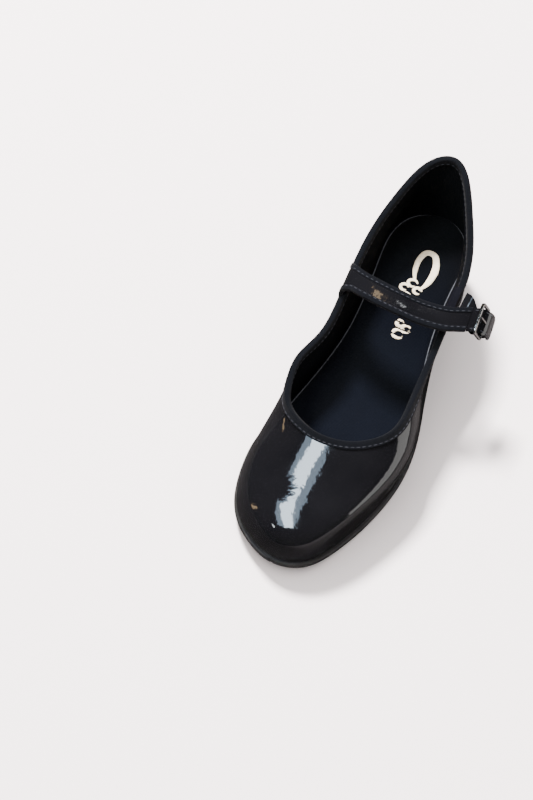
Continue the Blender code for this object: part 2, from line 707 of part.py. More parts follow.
def buckle_point(up, out, along=0.0):
    return BAR_CENTRE + RIM_WAY * up + BUCKLE_OUT * out + BAR_WAY * along


def build_strap_end():
    way = tuple(BAR_WAY)
    controls = [tuple(buckle_point(*spot)) + way for spot in END_PATH]
    path = smooth_path(controls, 3)
    half = STRAP_END_THICK / 2
    end = flat_band("strap_end", path, STRAP_WIDTH / 2, -half, half, "patent", STRAP_PIVOT)
    start = buckle_point(1.6, PRONG_WIRE + BUCKLE_WIRE + GAP)
    slot = [(0, 0), (PRONG_WIRE + GAP, 0), (PRONG_WIRE + GAP, BUCKLE_OPENING), (0, BUCKLE_OPENING)]
    cut(end, turned("prong_slot", slot, start, RIM_WAY, "", cutter=True))
    for index, spot in enumerate(PUNCHED_HOLES, 1):
        hole = [(0, -3), (PUNCHED_HOLE_RADIUS, -3), (PUNCHED_HOLE_RADIUS, 3), (0, 3)]
        place = buckle_point(*spot)
        name = f"punched_hole_{index}"
        cut(end, turned(name, hole, place, BUCKLE_OUT, "", cutter=True))


def build_buckle():
    half = STRAP_WIDTH / 2 + GAP + BUCKLE_WIRE + 0.2
    path = []
    corners = (
        (half, BUCKLE_OPENING, 0), (-half, BUCKLE_OPENING, 90), (-half, 0.0, 180),
        (half, 0.0, 270),
    )
    for across, up, start in corners:
        middle_across = across - math.copysign(BUCKLE_CORNER, across)
        middle_up = up - BUCKLE_CORNER if up else BUCKLE_CORNER
        for angle in np.radians(start + np.linspace(0, 90, 5)):
            path.append(buckle_point(middle_up + BUCKLE_CORNER * math.sin(angle), 0.0,
                                     middle_across + BUCKLE_CORNER * math.cos(angle)))
    wire("buckle_frame", path, BUCKLE_WIRE, "buckle", True, BAR_CENTRE)
    wrap = BUCKLE_WIRE + GAP + PRONG_WIRE
    path = [buckle_point(up, wrap) for up in np.linspace(BUCKLE_OPENING + 1.4, 0.0, 6)]
    for angle in np.radians(np.linspace(-20, -250, 10)):
        path.append(buckle_point(wrap * math.sin(angle), wrap * math.cos(angle)))
    wire("buckle_prong", path, PRONG_WIRE, "buckle", False, BAR_CENTRE)


def build_chape():
    """Leather strip doubled round the bar, with a slot for the prong."""
    way = tuple(BAR_WAY)
    straight = [tuple(BAR_CENTRE + CHAPE_WAY * step) + way for step in CHAPE_STRAIGHT]
    start = [on_last(*row[:3]) + row[3:] for row in CHAPE_PATH]
    path = smooth_path(start + straight, 3)
    middle, width, up = band_frames(path)
    leaf = (CHAPE_THICK + STRAP_GAP) / 2
    upper = np.column_stack([middle + up * leaf, width])
    lower = np.column_stack([middle - up * leaf, width])
    loop = BUCKLE_WIRE + GAP + CHAPE_THICK / 2
    over = Vector(up[-1])
    turn = []
    for angle in np.radians(np.linspace(48, 312, 12)):
        spot = CHAPE_WAY * loop * math.cos(angle) + over * loop * math.sin(angle)
        turn.append(tuple(BAR_CENTRE + spot) + way)
    path = np.vstack([upper, turn, lower[::-1]])
    half = CHAPE_THICK / 2
    chape = flat_band("buckle_chape", path, CHAPE_WIDTH / 2, -half, half, "patent", CHAPE_PIVOT)
    half = PRONG_WIRE + GAP
    slot = [(0, -half), (CHAPE_SLOT_RADIUS, -half), (CHAPE_SLOT_RADIUS, half), (0, half)]
    cut(chape, turned("chape_slot", slot, BAR_CENTRE, BAR_WAY, "", cutter=True))


def build_anchors():
    """The strap's sewn end outside the inner wall, and the elastic inside the outer wall."""
    u = np.linspace(ANCHOR_STATION - ANCHOR_SPAN, ANCHOR_STATION + ANCHOR_SPAN, 5)
    near = -(TAPE_GAP + BINDING_THICK + GAP)
    shares = np.linspace(1.0 - ANCHOR_DEPTH, 1.0, 5)
    outer = np.stack([wall(u, t, near - ANCHOR_THICK) for t in shares], axis=1)
    inner = np.stack([wall(u, t, near) for t in shares], axis=1)
    loft("strap_anchor", strip_ring(outer, inner), "patent")
    u = np.linspace(ELASTIC_STATION - ELASTIC_SPAN, ELASTIC_STATION + ELASTIC_SPAN, 5)
    depth = LINING_DEPTH + LINING_THICK + GAP + 0.15
    rows = [(wall(u, t, depth), wall(u, t, depth + ELASTIC_THICK)) for t in (0.70, 0.80, 0.90, 1.0)]
    edge = wall(u, 1.0)
    out = edge - wall(u, 1.0, 1.0)
    rise = TAPE_GAP + BINDING_THICK + GAP
    up = np.array([0.0, 0.0, 1.0])
    for step, low, high in ((-2.9, rise + 0.4, rise + 1.6), (-1.5, rise + 0.7, rise + 1.9),
                            (0.4, rise + 0.9, rise + 2.0)):
        rows.append((edge + out * step + up * low, edge + out * (step - 0.35) + up * high))
    outer = np.stack([row[0] for row in rows], axis=1)
    inner = np.stack([row[1] for row in rows], axis=1)
    loft("elastic_gore", strip_ring(outer, inner), "elastic")


def make_materials():
    for name, (colour, roughness, metallic) in COLOURS.items():
        material = bpy.data.materials.new(name)
        material.use_nodes = True
        shader = material.node_tree.nodes["Principled BSDF"]
        shader.inputs["Base Color"].default_value = (*colour, 1.0)
        shader.inputs["Roughness"].default_value = roughness
        shader.inputs["Metallic"].default_value = metallic


def place_on_floor():
    """Moves the whole shoe so that the middle of its box stands on the origin."""
    bpy.context.view_layer.update()
    corners = []
    for node in bpy.data.objects:
        if node.type == "MESH" and not node.hide_render:
            corners += [node.matrix_world @ vertex.co for vertex in node.data.vertices]
    corners = np.array(corners)
    middle = (corners.min(axis=0) + corners.max(axis=0)) / 2
    bpy.data.objects["tap_shoe"].location = (-middle[0], -middle[1], -corners[:, 2].min())


def main():
    for old in list(bpy.data.objects):
        bpy.data.objects.remove(old, do_unlink=True)
    root = bpy.data.objects.new("tap_shoe", None)
    bpy.context.scene.collection.objects.link(root)
    make_materials()
    build_upper()
    build_binding()
    build_back_stay()
    outsole, board, shank = build_bottom()
    heel = build_heel()
    toe = build_toe_tap()
    build_fasteners(outsole, board, shank, toe, heel)
    build_strap()
    build_strap_end()
    build_buckle()
    build_chape()
    build_anchors()
    place_on_floor()


main()
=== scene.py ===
"""Patent Mary-Jane tap shoe: the visual model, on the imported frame.

Shapes are worked out in millimetres in the drawing's own frame (toe tip at y = 0, floor at
z = 0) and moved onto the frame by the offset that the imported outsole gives.
"""

import math

import bmesh
import bpy
import numpy as np
from mathutils import Matrix, Vector


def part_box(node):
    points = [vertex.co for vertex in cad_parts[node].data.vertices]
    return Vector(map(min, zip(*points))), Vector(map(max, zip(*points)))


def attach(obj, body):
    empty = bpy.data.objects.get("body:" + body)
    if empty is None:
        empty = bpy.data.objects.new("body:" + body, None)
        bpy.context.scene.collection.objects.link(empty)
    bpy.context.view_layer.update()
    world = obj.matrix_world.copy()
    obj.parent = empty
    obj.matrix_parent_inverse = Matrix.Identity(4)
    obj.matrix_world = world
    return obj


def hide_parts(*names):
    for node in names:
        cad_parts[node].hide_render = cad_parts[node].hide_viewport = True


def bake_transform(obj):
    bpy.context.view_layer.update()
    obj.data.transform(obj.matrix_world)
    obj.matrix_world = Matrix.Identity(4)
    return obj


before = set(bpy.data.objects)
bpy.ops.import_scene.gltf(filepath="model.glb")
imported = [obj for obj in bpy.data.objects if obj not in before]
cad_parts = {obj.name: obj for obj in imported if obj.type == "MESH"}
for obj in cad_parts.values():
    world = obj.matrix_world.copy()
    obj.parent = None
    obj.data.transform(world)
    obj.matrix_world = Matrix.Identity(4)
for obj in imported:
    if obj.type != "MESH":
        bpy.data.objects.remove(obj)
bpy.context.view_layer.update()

MM = 0.001

# The last's stations: feather x, y; topline x, y, z; lean and length at the feather;
# drop angle and length at the topline.
STATIONS = np.array([
    (0.0, 213.0, 0.0, 213.5, 78.0, 8, 18, 90, 20),
    (16.0, 206.0, 11.0, 206.0, 76.0, 8, 18, 91, 20),
    (24.0, 188.0, 21.5, 187.5, 69.0, 7, 16, 94, 18),
    (24.0, 165.0, 30.0, 165.0, 61.0, 7, 14, 96, 15),
    (26.0, 135.0, 31.5, 137.0, 54.0, 11, 14, 98, 14),
    (33.5, 105.0, 32.5, 111.5, 50.0, 7, 15, 98, 15),
    (37.5, 78.0, 32.5, 91.0, 47.5, 2, 18, 56, 18),
    (34.0, 50.0, 31.0, 74.5, 45.5, 0, 22, 42, 24),
    (24.0, 21.5, 22.0, 63.5, 44.5, -1, 26, 31, 32),
    (13.5, 7.0, 11.0, 58.0, 44.0, -1, 26, 27, 34),
    (-0.5, 3.2, -1.0, 56.5, 44.0, -2, 26, 29, 34),
    (-15.0, 8.5, -12.0, 59.0, 44.5, -6, 26, 40, 34),
    (-30.0, 24.0, -22.0, 65.0, 45.5, -12, 26, 62, 32),
    (-36.5, 50.0, -27.0, 76.5, 46.5, -15, 22, 80, 24),
    (-35.0, 72.0, -28.0, 91.5, 48.0, -11, 18, 91, 18),
    (-28.0, 105.0, -23.5, 109.5, 48.5, -1, 15, 105, 15),
    (-21.0, 135.0, -23.5, 134.5, 53.5, 7, 14, 104, 14),
    (-22.0, 165.0, -23.5, 163.0, 61.0, 6, 14, 99, 15),
    (-24.0, 188.0, -19.0, 187.0, 69.0, 7, 16, 94, 18),
    (-17.0, 206.0, -11.5, 206.0, 75.5, 8, 18, 91, 20),
])
TURN = len(STATIONS)  # stations in one turn round the shoe

FORE_HEIGHT = 7.6
OUTSOLE_THICK = 3.5
GAP = 0.3
SOLE_EDGE = 0.6
HEEL_INSET = 0.9  # heel, at the floor, inside the feather line
TAP_EDGE = 1.9  # toe tap inside the feather line
TAP_THICK = 2.2
TOPLIFT_THICK = 4.0
UPPER_THICK = 1.1
STIFFENER_DEPTH = 1.35
STIFFENER_THICK = 0.9
LINING_DEPTH = 2.5
LINING_THICK = 0.7
SOCK_BOTTOM = 5.6
SOCK_THICK = 2.4
CUFF = UPPER_THICK + 0.25 + LINING_THICK  # upper and lining together at the topline
TAPE_NEAR, TAPE_FAR, TAPE_HEIGHT = 0.2, 0.6, 3.2
STAY_WIDTH = 12.0
HEEL_STATION = 17.0  # length of one station round the back of the heel

THREAD_HALF = 0.17
STITCH_PITCH = 2.75
STITCH_LINE = -2.35  # on the tape, below the topline

STRAP_HALF = 6.1
STRAP_CORE = 1.3
STRAP_PATENT = 0.7
STRAP_LIP = 2.6
STRAP_ROOT_DEPTH = 0.2
BAR_CENTRE = Vector((48.2, 140.3, 56.4))
BAR_WAY = Vector((-0.08, 0.95, 0.30)).normalized()
RIM_WAY = Vector((-0.29, -0.30, 0.91))
RIM_WAY = (RIM_WAY - RIM_WAY.dot(BAR_WAY) * BAR_WAY).normalized()
BUCKLE_OUT = BAR_WAY.cross(RIM_WAY).normalized()
CHAPE_WAY = Vector((-0.96, 0.0, 0.24))
CHAPE_WAY = (CHAPE_WAY - CHAPE_WAY.dot(BAR_WAY) * BAR_WAY).normalized()
ANCHOR_STATION = 16.12
ELASTIC_STATION = 3.65


# ---------------------------------------------------------------- the last's curves

def smooth(start, end, value):
    share = np.clip((value - start) / (end - start), 0.0, 1.0)
    return share * share * (3.0 - 2.0 * share)


def toe_lift(y):
    return 3.0 * (1.0 - smooth(0.0, 42.0, y))


def bottom_height(y):
    return FORE_HEIGHT + toe_lift(y) + 18.0 * smooth(95.0, 172.0, y)


def periodic_spline(values, u):
    count = len(values)
    matrix = 4.0 * np.eye(count)
    matrix += np.roll(np.eye(count), 1, axis=1) + np.roll(np.eye(count), -1, axis=1)
    slopes = 3.0 * (np.roll(values, -1, axis=0) - np.roll(values, 1, axis=0))
    slopes = np.linalg.solve(matrix, slopes)
    u = np.asarray(u, float) % count
    low = np.floor(u).astype(int) % count
    high = (low + 1) % count
    t = (u - np.floor(u))[:, None]
    start = values[low] * (2 * t**3 - 3 * t**2 + 1) + slopes[low] * (t**3 - 2 * t**2 + t)
    return start + values[high] * (3 * t**2 - 2 * t**3) + slopes[high] * (t**3 - t**2)


def unit(rows):
    return rows / np.linalg.norm(rows, axis=1, keepdims=True)


def plan_normals(points, ahead):
    step = ahead[:, :2] - points[:, :2]
    return unit(np.column_stack([-step[:, 1], step[:, 0]]))


def wall_handles(u):
    here = periodic_spline(STATIONS, u)
    near = periodic_spline(STATIONS, np.asarray(u, float) + 0.01)
    out_foot = plan_normals(here[:, 0:2], near[:, 0:2])
    out_top = plan_normals(here[:, 2:4], near[:, 2:4])
    lean = np.radians(here[:, 5])
    drop = np.radians(here[:, 7])
    foot = np.column_stack([here[:, 0:2], bottom_height(here[:, 1])])
    rise = np.column_stack([out_foot * np.sin(lean)[:, None], np.cos(lean)])
    fall = np.column_stack([out_top * np.cos(drop)[:, None], -np.sin(drop)])
    top = here[:, 2:5]
    return foot, foot + rise * here[:, 6:7], top + fall * here[:, 8:9], top, out_foot


def bezier(handles, t):
    a, b, c, d = handles[:4]
    s = 1.0 - t
    return s**3 * a + 3 * s * s * t * b + 3 * s * t * t * c + t**3 * d


def wall_frame(u, t):
    """Point on the outer face, outward normal, way round and way up."""
    u = np.atleast_1d(np.asarray(u, float))
    here = bezier(wall_handles(u), t)
    round_way = bezier(wall_handles(u + 0.02), t) - bezier(wall_handles(u - 0.02), t)
    up = bezier(wall_handles(u), t + 0.01) - bezier(wall_handles(u), t - 0.01)
    return here, unit(np.cross(up, round_way)), unit(round_way), unit(up)


def wall(u, t, depth=0.0):
    here, out, _, _ = wall_frame(u, t)
    return here - out * depth


def foot_point(u, inset, lift):
    foot, _, _, _, out = wall_handles(np.atleast_1d(np.asarray(u, float)))
    plan = foot[:, :2] - out * inset
    return np.column_stack([plan, bottom_height(plan[:, 1]) + lift])


def turn_stations(count):
    return np.arange(count) * TURN / count


def plate_ring(inset, height, count=192):
    ring = foot_point(turn_stations(count), inset, 0.0)
    ring[:, 2] = height(ring[:, 1])
    return ring


def outsole_offset():
    """From the drawing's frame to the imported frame, by the box of the outsole."""
    ring = plate_ring(-SOLE_EDGE, lambda y: bottom_height(y) - GAP, 48)
    low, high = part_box("outsole")
    middle = (Vector(low) + Vector(high)) / 2
    drawn = (ring.min(axis=0) + ring.max(axis=0)) / 2
    rise = high[2] - ring[:, 2].max() * MM
    return Vector((middle[0] - drawn[0] * MM, middle[1] - drawn[1] * MM, rise))


OFFSET = outsole_offset()


def place(point):
    return Vector(point) * MM + OFFSET


# ---------------------------------------------------------------- mesh making

def make_piece(name, points, faces, material, body="shoe"):
    mesh = bpy.data.meshes.new(name)
    points = np.asarray(points, float) * MM + np.array(OFFSET)
    mesh.from_pydata(points.tolist(), [], [tuple(int(i) for i in f) for f in faces])
    mesh.update()
    shape = bmesh.new()
    shape.from_mesh(mesh)
    bmesh.ops.recalc_face_normals(shape, faces=shape.faces[:])
    if shape.calc_volume(signed=True) < 0:
        bmesh.ops.reverse_faces(shape, faces=shape.faces[:])
    shape.to_mesh(mesh)
    shape.free()
    piece = bpy.data.objects.new(name, mesh)
    bpy.context.scene.collection.objects.link(piece)
    mesh.materials.append(FINISHES[material])
    mesh.shade_smooth()
    mesh.set_sharp_from_angle(angle=math.radians(50))
    if body:
        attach(piece, body)
    return piece


def grid_faces(rows, columns, close_rows=False, close_columns=False, first=0):
    """Quads over points numbered row by row, from a first number on."""
    faces = []
    for i in range(rows if close_rows else rows - 1):
        low, high = first + i * columns, first + (i + 1) % rows * columns
        for k in range(columns if close_columns else columns - 1):
            m = (k + 1) % columns
            faces.append((low + k, low + m, high + m, high + k))
    return faces


def tube_mesh(sections, closed_along):
    """Points and faces of sections that run round a strip or wire; an open one has ends."""
    sections = np.asarray(sections, float)
    rows, size = sections.shape[:2]
    faces = grid_faces(rows, size, closed_along, True)
    if not closed_along:
        faces.append(tuple(range(size)))
        faces.append(tuple((rows - 1) * size + k for k in reversed(range(size))))
    return sections.reshape(-1, 3), faces


def solid(name, sections, closed_along, material, body="shoe"):
    return make_piece(name, *tube_mesh(sections, closed_along), material, body)


def circle(count, start=0.0):
    """Cosine and sine of even steps round a turn."""
    angles = 2 * math.pi * (np.arange(count) + start) / count
    return np.column_stack([np.cos(angles), np.sin(angles)])


def tilt(way):
    """The turn that takes straight up to a way."""
    return Vector((0, 0, 1)).rotation_difference(Vector(way).normalized()).to_matrix()


def smooth_path(controls, steps):
    rows = np.asarray(controls, float)
    rows = np.vstack([2 * rows[0] - rows[1], rows, 2 * rows[-1] - rows[-2]])
    made = []
    for i in range(1, len(rows) - 2):
        a, b, c, d = rows[i - 1:i + 3]
        for t in np.arange(steps) / steps:
            curve = 2 * b + (c - a) * t + (2 * a - 5 * b + 4 * c - d) * t * t
            made.append(0.5 * (curve + (3 * b - a - 3 * c + d) * t**3))
    made.append(rows[-2])
    return np.array(made)


def even_path(path, step):
    """The same path read at even steps of length."""
    lengths = np.linalg.norm(np.diff(path[:, :3], axis=0), axis=1)
    along = np.concatenate([[0.0], np.cumsum(lengths)])
    count = max(2, int(round(along[-1] / step)) + 1)
    at = np.linspace(0.0, along[-1], count)
    return np.column_stack([np.interp(at, along, path[:, k]) for k in range(path.shape[1])]), at


def band_frames(path):
    """Middle line, width way, up way and way along, from a path that carries its width way."""
    middle = path[:, :3]
    along = unit(np.gradient(middle, axis=0))
    width = unit(path[:, 3:6])
    return middle, width, unit(np.cross(along, width)), along


def stitch_row(name, spots, ways, outs, material, length=1.9, body="shoe"):
    """Row of thread stitches: rounded grains that dip into the leather at both ends."""
    profile = [(-0.5, 0.25), (-0.42, 0.75), (-0.2, 1.0), (0.2, 1.0), (0.42, 0.75), (0.5, 0.25)]
    turns = circle(8)
    points, faces = [], []
    for spot, way, out in zip(spots, ways, outs):
        side = np.cross(way, out)
        rings = []
        for along, grow in profile:
            centre = spot + way * along * length - out * 0.16 * (2 * along) ** 4
            rings.append([centre + (side * x * 1.15 + out * y * 0.85) * THREAD_HALF * grow
                          for x, y in turns])
        grain, sides = tube_mesh(rings, False)
        faces += [tuple(len(points) + i for i in face) for face in sides]
        points.extend(grain)
    return make_piece(name, points, faces, material, body)


# ---------------------------------------------------------------- materials

FINISHES = {}


def new_material(name):
    material = bpy.data.materials.new(name + "_finish")
    FINISHES[name] = material
    material.use_nodes = True
    nodes, links = material.node_tree.nodes, material.node_tree.links
    return nodes, links, nodes["Principled BSDF"]


def fill(links, node, values):
    """Sets a node's inputs, each by a plain value or by another node's output."""
    for name, value in values.items():
        if isinstance(value, bpy.types.NodeSocket):
            links.new(value, node.inputs[name])
        else:
            node.inputs[name].default_value = value


def noise(nodes, links, scale, detail=4.0, stretch=(1, 1, 1), roughness=0.5):
    mapping = nodes.new("ShaderNodeMapping")
    where = nodes.new("ShaderNodeTexCoord").outputs["Object"]
    fill(links, mapping, {"Scale": stretch, "Vector": where})
    texture = nodes.new("ShaderNodeTexNoise")
    fill(links, texture, {"Scale": scale, "Detail": detail, "Roughness": roughness,
                          "Vector": mapping.outputs["Vector"]})
    return texture.outputs["Fac"]


def axes(nodes, links):
    """X, Y and Z in the object's own space."""
    split = nodes.new("ShaderNodeSeparateXYZ")
    links.new(nodes.new("ShaderNodeTexCoord").outputs["Object"], split.inputs[0])
    return split.outputs


def mix_colour(nodes, links, kind, factor, below, above):
    made = nodes.new("ShaderNodeMix")
    made.data_type = "RGBA"
    made.blend_type = kind
    fill(links, made, {"Factor": factor, 6: below, 7: above})
    return made.outputs[2]


def ramp(nodes, links, value, stops):
    made = nodes.new("ShaderNodeValToRGB")
    band = made.color_ramp
    while len(band.elements) < len(stops):
        band.elements.new(0.5)
    for element, (spot, colour) in zip(band.elements, stops):
        element.position = spot
        element.color = (*colour, 1.0)
    links.new(value, made.inputs["Fac"])
    return made.outputs["Color"]


def spread(nodes, links, value, low, high, start=0.0, end=1.0):
    made = nodes.new("ShaderNodeMapRange")
    fill(links, made, {"From Min": start, "From Max": end, "To Min": low, "To Max": high,
                       "Value": value})
    return made.outputs["Result"]


def maths(nodes, links, kind, a, b):
    made = nodes.new("ShaderNodeMath")
    made.operation = kind
    fill(links, made, {0: a, 1: b})
    return made.outputs[0]


def bump(nodes, links, shader, height, strength, distance, below=None):
    made = nodes.new("ShaderNodeBump")
    fill(links, made, {"Strength": strength, "Distance": distance, "Height": height})
    if below is not None:
        links.new(below, made.inputs["Normal"])
    if shader is not None:
        links.new(made.outputs["Normal"], shader.inputs["Normal"])
    return made.outputs["Normal"]


def patent_material():
    nodes, links, shader = new_material("patent")
    colour = ramp(nodes, links, noise(nodes, links, 30.0, 3.0),
                  [(0.3, (0.0022, 0.0023, 0.0030)), (0.7, (0.0045, 0.0046, 0.0056))])
    haze = spread(nodes, links, noise(nodes, links, 70.0, 4.0), 0.05, 0.13, 0.35, 0.7)
    ripple = bump(nodes, links, None, noise(nodes, links, 330.0, 2.0), 0.14, 0.0004)
    swell = bump(nodes, links, shader, noise(nodes, links, 75.0, 1.0), 0.10, 0.001, ripple)
    fill(links, shader, {"Base Color": colour, "Roughness": haze, "IOR": 1.5, "Coat Weight": 1.0,
                         "Coat IOR": 1.6, "Coat Roughness": 0.03, "Coat Normal": swell})


def weave_material(name, dark, light, pitch, rough, height=0.5, sheen=0.3):
    """Plain weave: two sets of threads that pass over and under each other."""
    nodes, links, shader = new_material(name)
    where = axes(nodes, links)
    waves = []
    for axis in ("X", "Y"):
        scaled = maths(nodes, links, "MULTIPLY", where[axis], 2 * math.pi / pitch)
        waves.append(maths(nodes, links, "SINE", scaled, 0.0))
    cloth = maths(nodes, links, "MULTIPLY", waves[0], waves[1])
    fuzz = noise(nodes, links, 2600.0, 4.0)
    patchy = noise(nodes, links, 45.0, 3.0)
    threads = maths(nodes, links, "ADD", spread(nodes, links, cloth, 0.15, 0.6, -1, 1),
                    spread(nodes, links, fuzz, -0.2, 0.25))
    mixed = maths(nodes, links, "ADD", threads, spread(nodes, links, patchy, -0.22, 0.22))
    fill(links, shader, {
        "Base Color": ramp(nodes, links, mixed, [(0.1, dark), (0.85, light)]),
        "Roughness": spread(nodes, links, patchy, rough - 0.06, min(1.0, rough + 0.06)),
        "Sheen Weight": sheen, "Sheen Roughness": 0.5, "Specular IOR Level": 0.25})
    rise = maths(nodes, links, "ADD", cloth, spread(nodes, links, fuzz, -0.6, 0.6))
    bump(nodes, links, shader, rise, height, 0.00012)
    return nodes, links, shader


def painted_heel_shade(nodes, links, shader):
    """Painted shade: the cloth's colour darkened towards the heel, where the inside of the shoe
    lies in shade.
    """
    back = spread(nodes, links, axes(nodes, links)["Y"], 0.0, 1.0, 0.020, 0.085)
    shade = ramp(nodes, links, back, [(0.0, (1.0, 1.0, 1.0)), (1.0, (0.22, 0.20, 0.18))])
    plain = shader.inputs["Base Color"].links[0].from_socket
    links.new(mix_colour(nodes, links, "MULTIPLY", 1.0, plain, shade),
              shader.inputs["Base Color"])


def fibre_material(name, dark, light, scale, rough, height=0.3, coat=0.0):
    """Mottled surface with fine grain, for board, cork, rubber, leather and thread."""
    nodes, links, shader = new_material(name)
    coarse = noise(nodes, links, scale, 5.0)
    fine = noise(nodes, links, scale * 9.0, 4.0)
    mixed = maths(nodes, links, "ADD", maths(nodes, links, "MULTIPLY", coarse, 0.6),
                  maths(nodes, links, "MULTIPLY", fine, 0.4))
    fill(links, shader, {
        "Base Color": ramp(nodes, links, mixed, [(0.35, dark), (0.65, light)]),
        "Roughness": spread(nodes, links, coarse, rough - 0.08, min(1.0, rough + 0.08), 0.3, 0.7),
        "Coat Weight": coat})
    bump(nodes, links, shader, mixed, height, 0.0002)


def metal_material(name, tint, rough, scratch, brush, dirt):
    """Brushed metal with clouded, worn places; dirt is how much of the tint they keep."""
    nodes, links, shader = new_material(name)
    wear = noise(nodes, links, 420.0, 6.0, brush, 0.65)
    cloud = noise(nodes, links, 60.0, 4.0)
    shade = tuple(t * d for t, d in zip(tint, dirt))
    mixed = maths(nodes, links, "ADD", maths(nodes, links, "MULTIPLY", wear, 0.5),
                  maths(nodes, links, "MULTIPLY", cloud, 0.5))
    fill(links, shader, {
        "Metallic": 1.0, "Base Color": ramp(nodes, links, mixed, [(0.25, shade), (0.5, tint)]),
        "Roughness": spread(nodes, links, wear, rough * 0.6, rough * 1.5, 0.3, 0.7)})
    bump(nodes, links, shader, wear, scratch, 0.00008)


def make_materials():
    patent_material()
    weave_material("lining_cloth", (0.0008, 0.0009, 0.0014), (0.0026, 0.003, 0.0046), 0.0007, 0.85,
                   sheen=0.0)
    made = weave_material("sock_cloth", (0.0009, 0.0013, 0.0026), (0.0026, 0.0036, 0.0070), 0.0009,
                          0.86, 0.7, 0.03)
    # Painted shade: the sock's colour darkens towards the heel.
    painted_heel_shade(*made)
    weave_material("tape_cloth", (0.0008, 0.0010, 0.0016), (0.0032, 0.0038, 0.0058), 0.0004, 0.8,
                   0.5, 0.03)
    weave_material("elastic_cloth", (0.0015, 0.0015, 0.0025), (0.006, 0.006, 0.009), 0.0005, 0.85,
                   sheen=0.0)
    fibre_material("thread", (0.008, 0.009, 0.012), (0.035, 0.037, 0.046), 900.0, 0.6)
    fibre_material("edge_thread", (0.03, 0.034, 0.042), (0.09, 0.095, 0.105), 900.0, 0.7)
    fibre_material("print_ink", (0.62, 0.52, 0.36), (0.80, 0.72, 0.55), 700.0, 0.62, height=0.2)
    fibre_material("stiffener", (0.32, 0.25, 0.16), (0.5, 0.41, 0.28), 240.0, 0.9)
    fibre_material("board", (0.2, 0.12, 0.06), (0.42, 0.29, 0.17), 300.0, 0.85)
    fibre_material("cork", (0.16, 0.09, 0.045), (0.46, 0.31, 0.18), 420.0, 0.95, height=0.6)
    fibre_material("sole_leather", (0.008, 0.008, 0.008), (0.026, 0.025, 0.024), 130.0, 0.5,
                   height=0.25, coat=0.15)
    fibre_material("toplift_rubber", (0.010, 0.010, 0.011), (0.022, 0.022, 0.023), 520.0, 0.75,
                   height=0.35)
    metal_material("zinc_steel", (0.52, 0.53, 0.56), 0.38, 0.25, (1, 1, 1), (0.55, 0.52, 0.5))
    metal_material("tap_alloy", (0.74, 0.75, 0.78), 0.30, 0.3, (1.0, 0.16, 1.0),
                   (0.62, 0.62, 0.62))
    metal_material("nickel", (0.72, 0.71, 0.69), 0.14, 0.08, (1, 1, 1), (0.75, 0.73, 0.7))


# ---------------------------------------------------------------- upper and lining

def lasted_layer(u, depth, margin, top, rows, closing=0.0):
    """One face of a layer: lasted edge, round the feather line, then up the wall."""
    face = [foot_point(u, margin, depth), foot_point(u, (margin + depth) / 2, depth)]
    bend = 1.4
    face.append(foot_point(u, depth + bend, depth))
    face.append(foot_point(u, depth + bend * 0.35, depth + bend * 0.1))
    for t in np.linspace(0.035, top, rows):
        pull = closing * float(smooth(0.60, 0.91, t))
        face.append(wall(u, t, depth - pull))
    return np.stack(face, axis=1)


def layer_piece(name, u, depth, thick, margin, top, rows, material, closed, nodes,
                closing=0.0):
    outer = lasted_layer(u, depth, margin, top, rows, closing)
    inner = lasted_layer(u, depth + thick, margin, top, rows, closing)
    sections = np.concatenate([outer, inner[:, ::-1]], axis=1)
    piece = solid(name, sections, closed, material)
    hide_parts(*nodes)
    return piece


def build_upper():
    u = turn_stations(320)
    layer_piece("patent_upper", u, 0.0, UPPER_THICK, 9.0, 1.0, 44, "patent", True,
                ["upper_shell"])
    layer_piece("quarter_and_vamp_lining", u, LINING_DEPTH, LINING_THICK, 7.0, 1.0, 30,
                "lining_cloth", True, ["upper_lining"], LINING_DEPTH - STIFFENER_DEPTH)
    for name, first, last, top in (("toe_puff", 18, 30, 0.46), ("interlining_lateral", 9, 17, 0.72),
                                   ("interlining_medial", 31, 39, 0.72),
                                   ("heel_counter", 40, 56, 0.72)):
        span = np.linspace(first, last, (last - first) * 6 + 1) * TURN / 48
        layer_piece(name + "_fibre", span, STIFFENER_DEPTH, STIFFENER_THICK - 0.05, 6.0, top, 16,
                    "stiffener", False, [name])


def topline_point(u, depth, lift):
    """Point over the topline, on the line that the wall's last part points along."""
    edge = wall(u, 1.0, depth)
    return edge + unit(edge - wall(u, 0.97, depth)) * lift


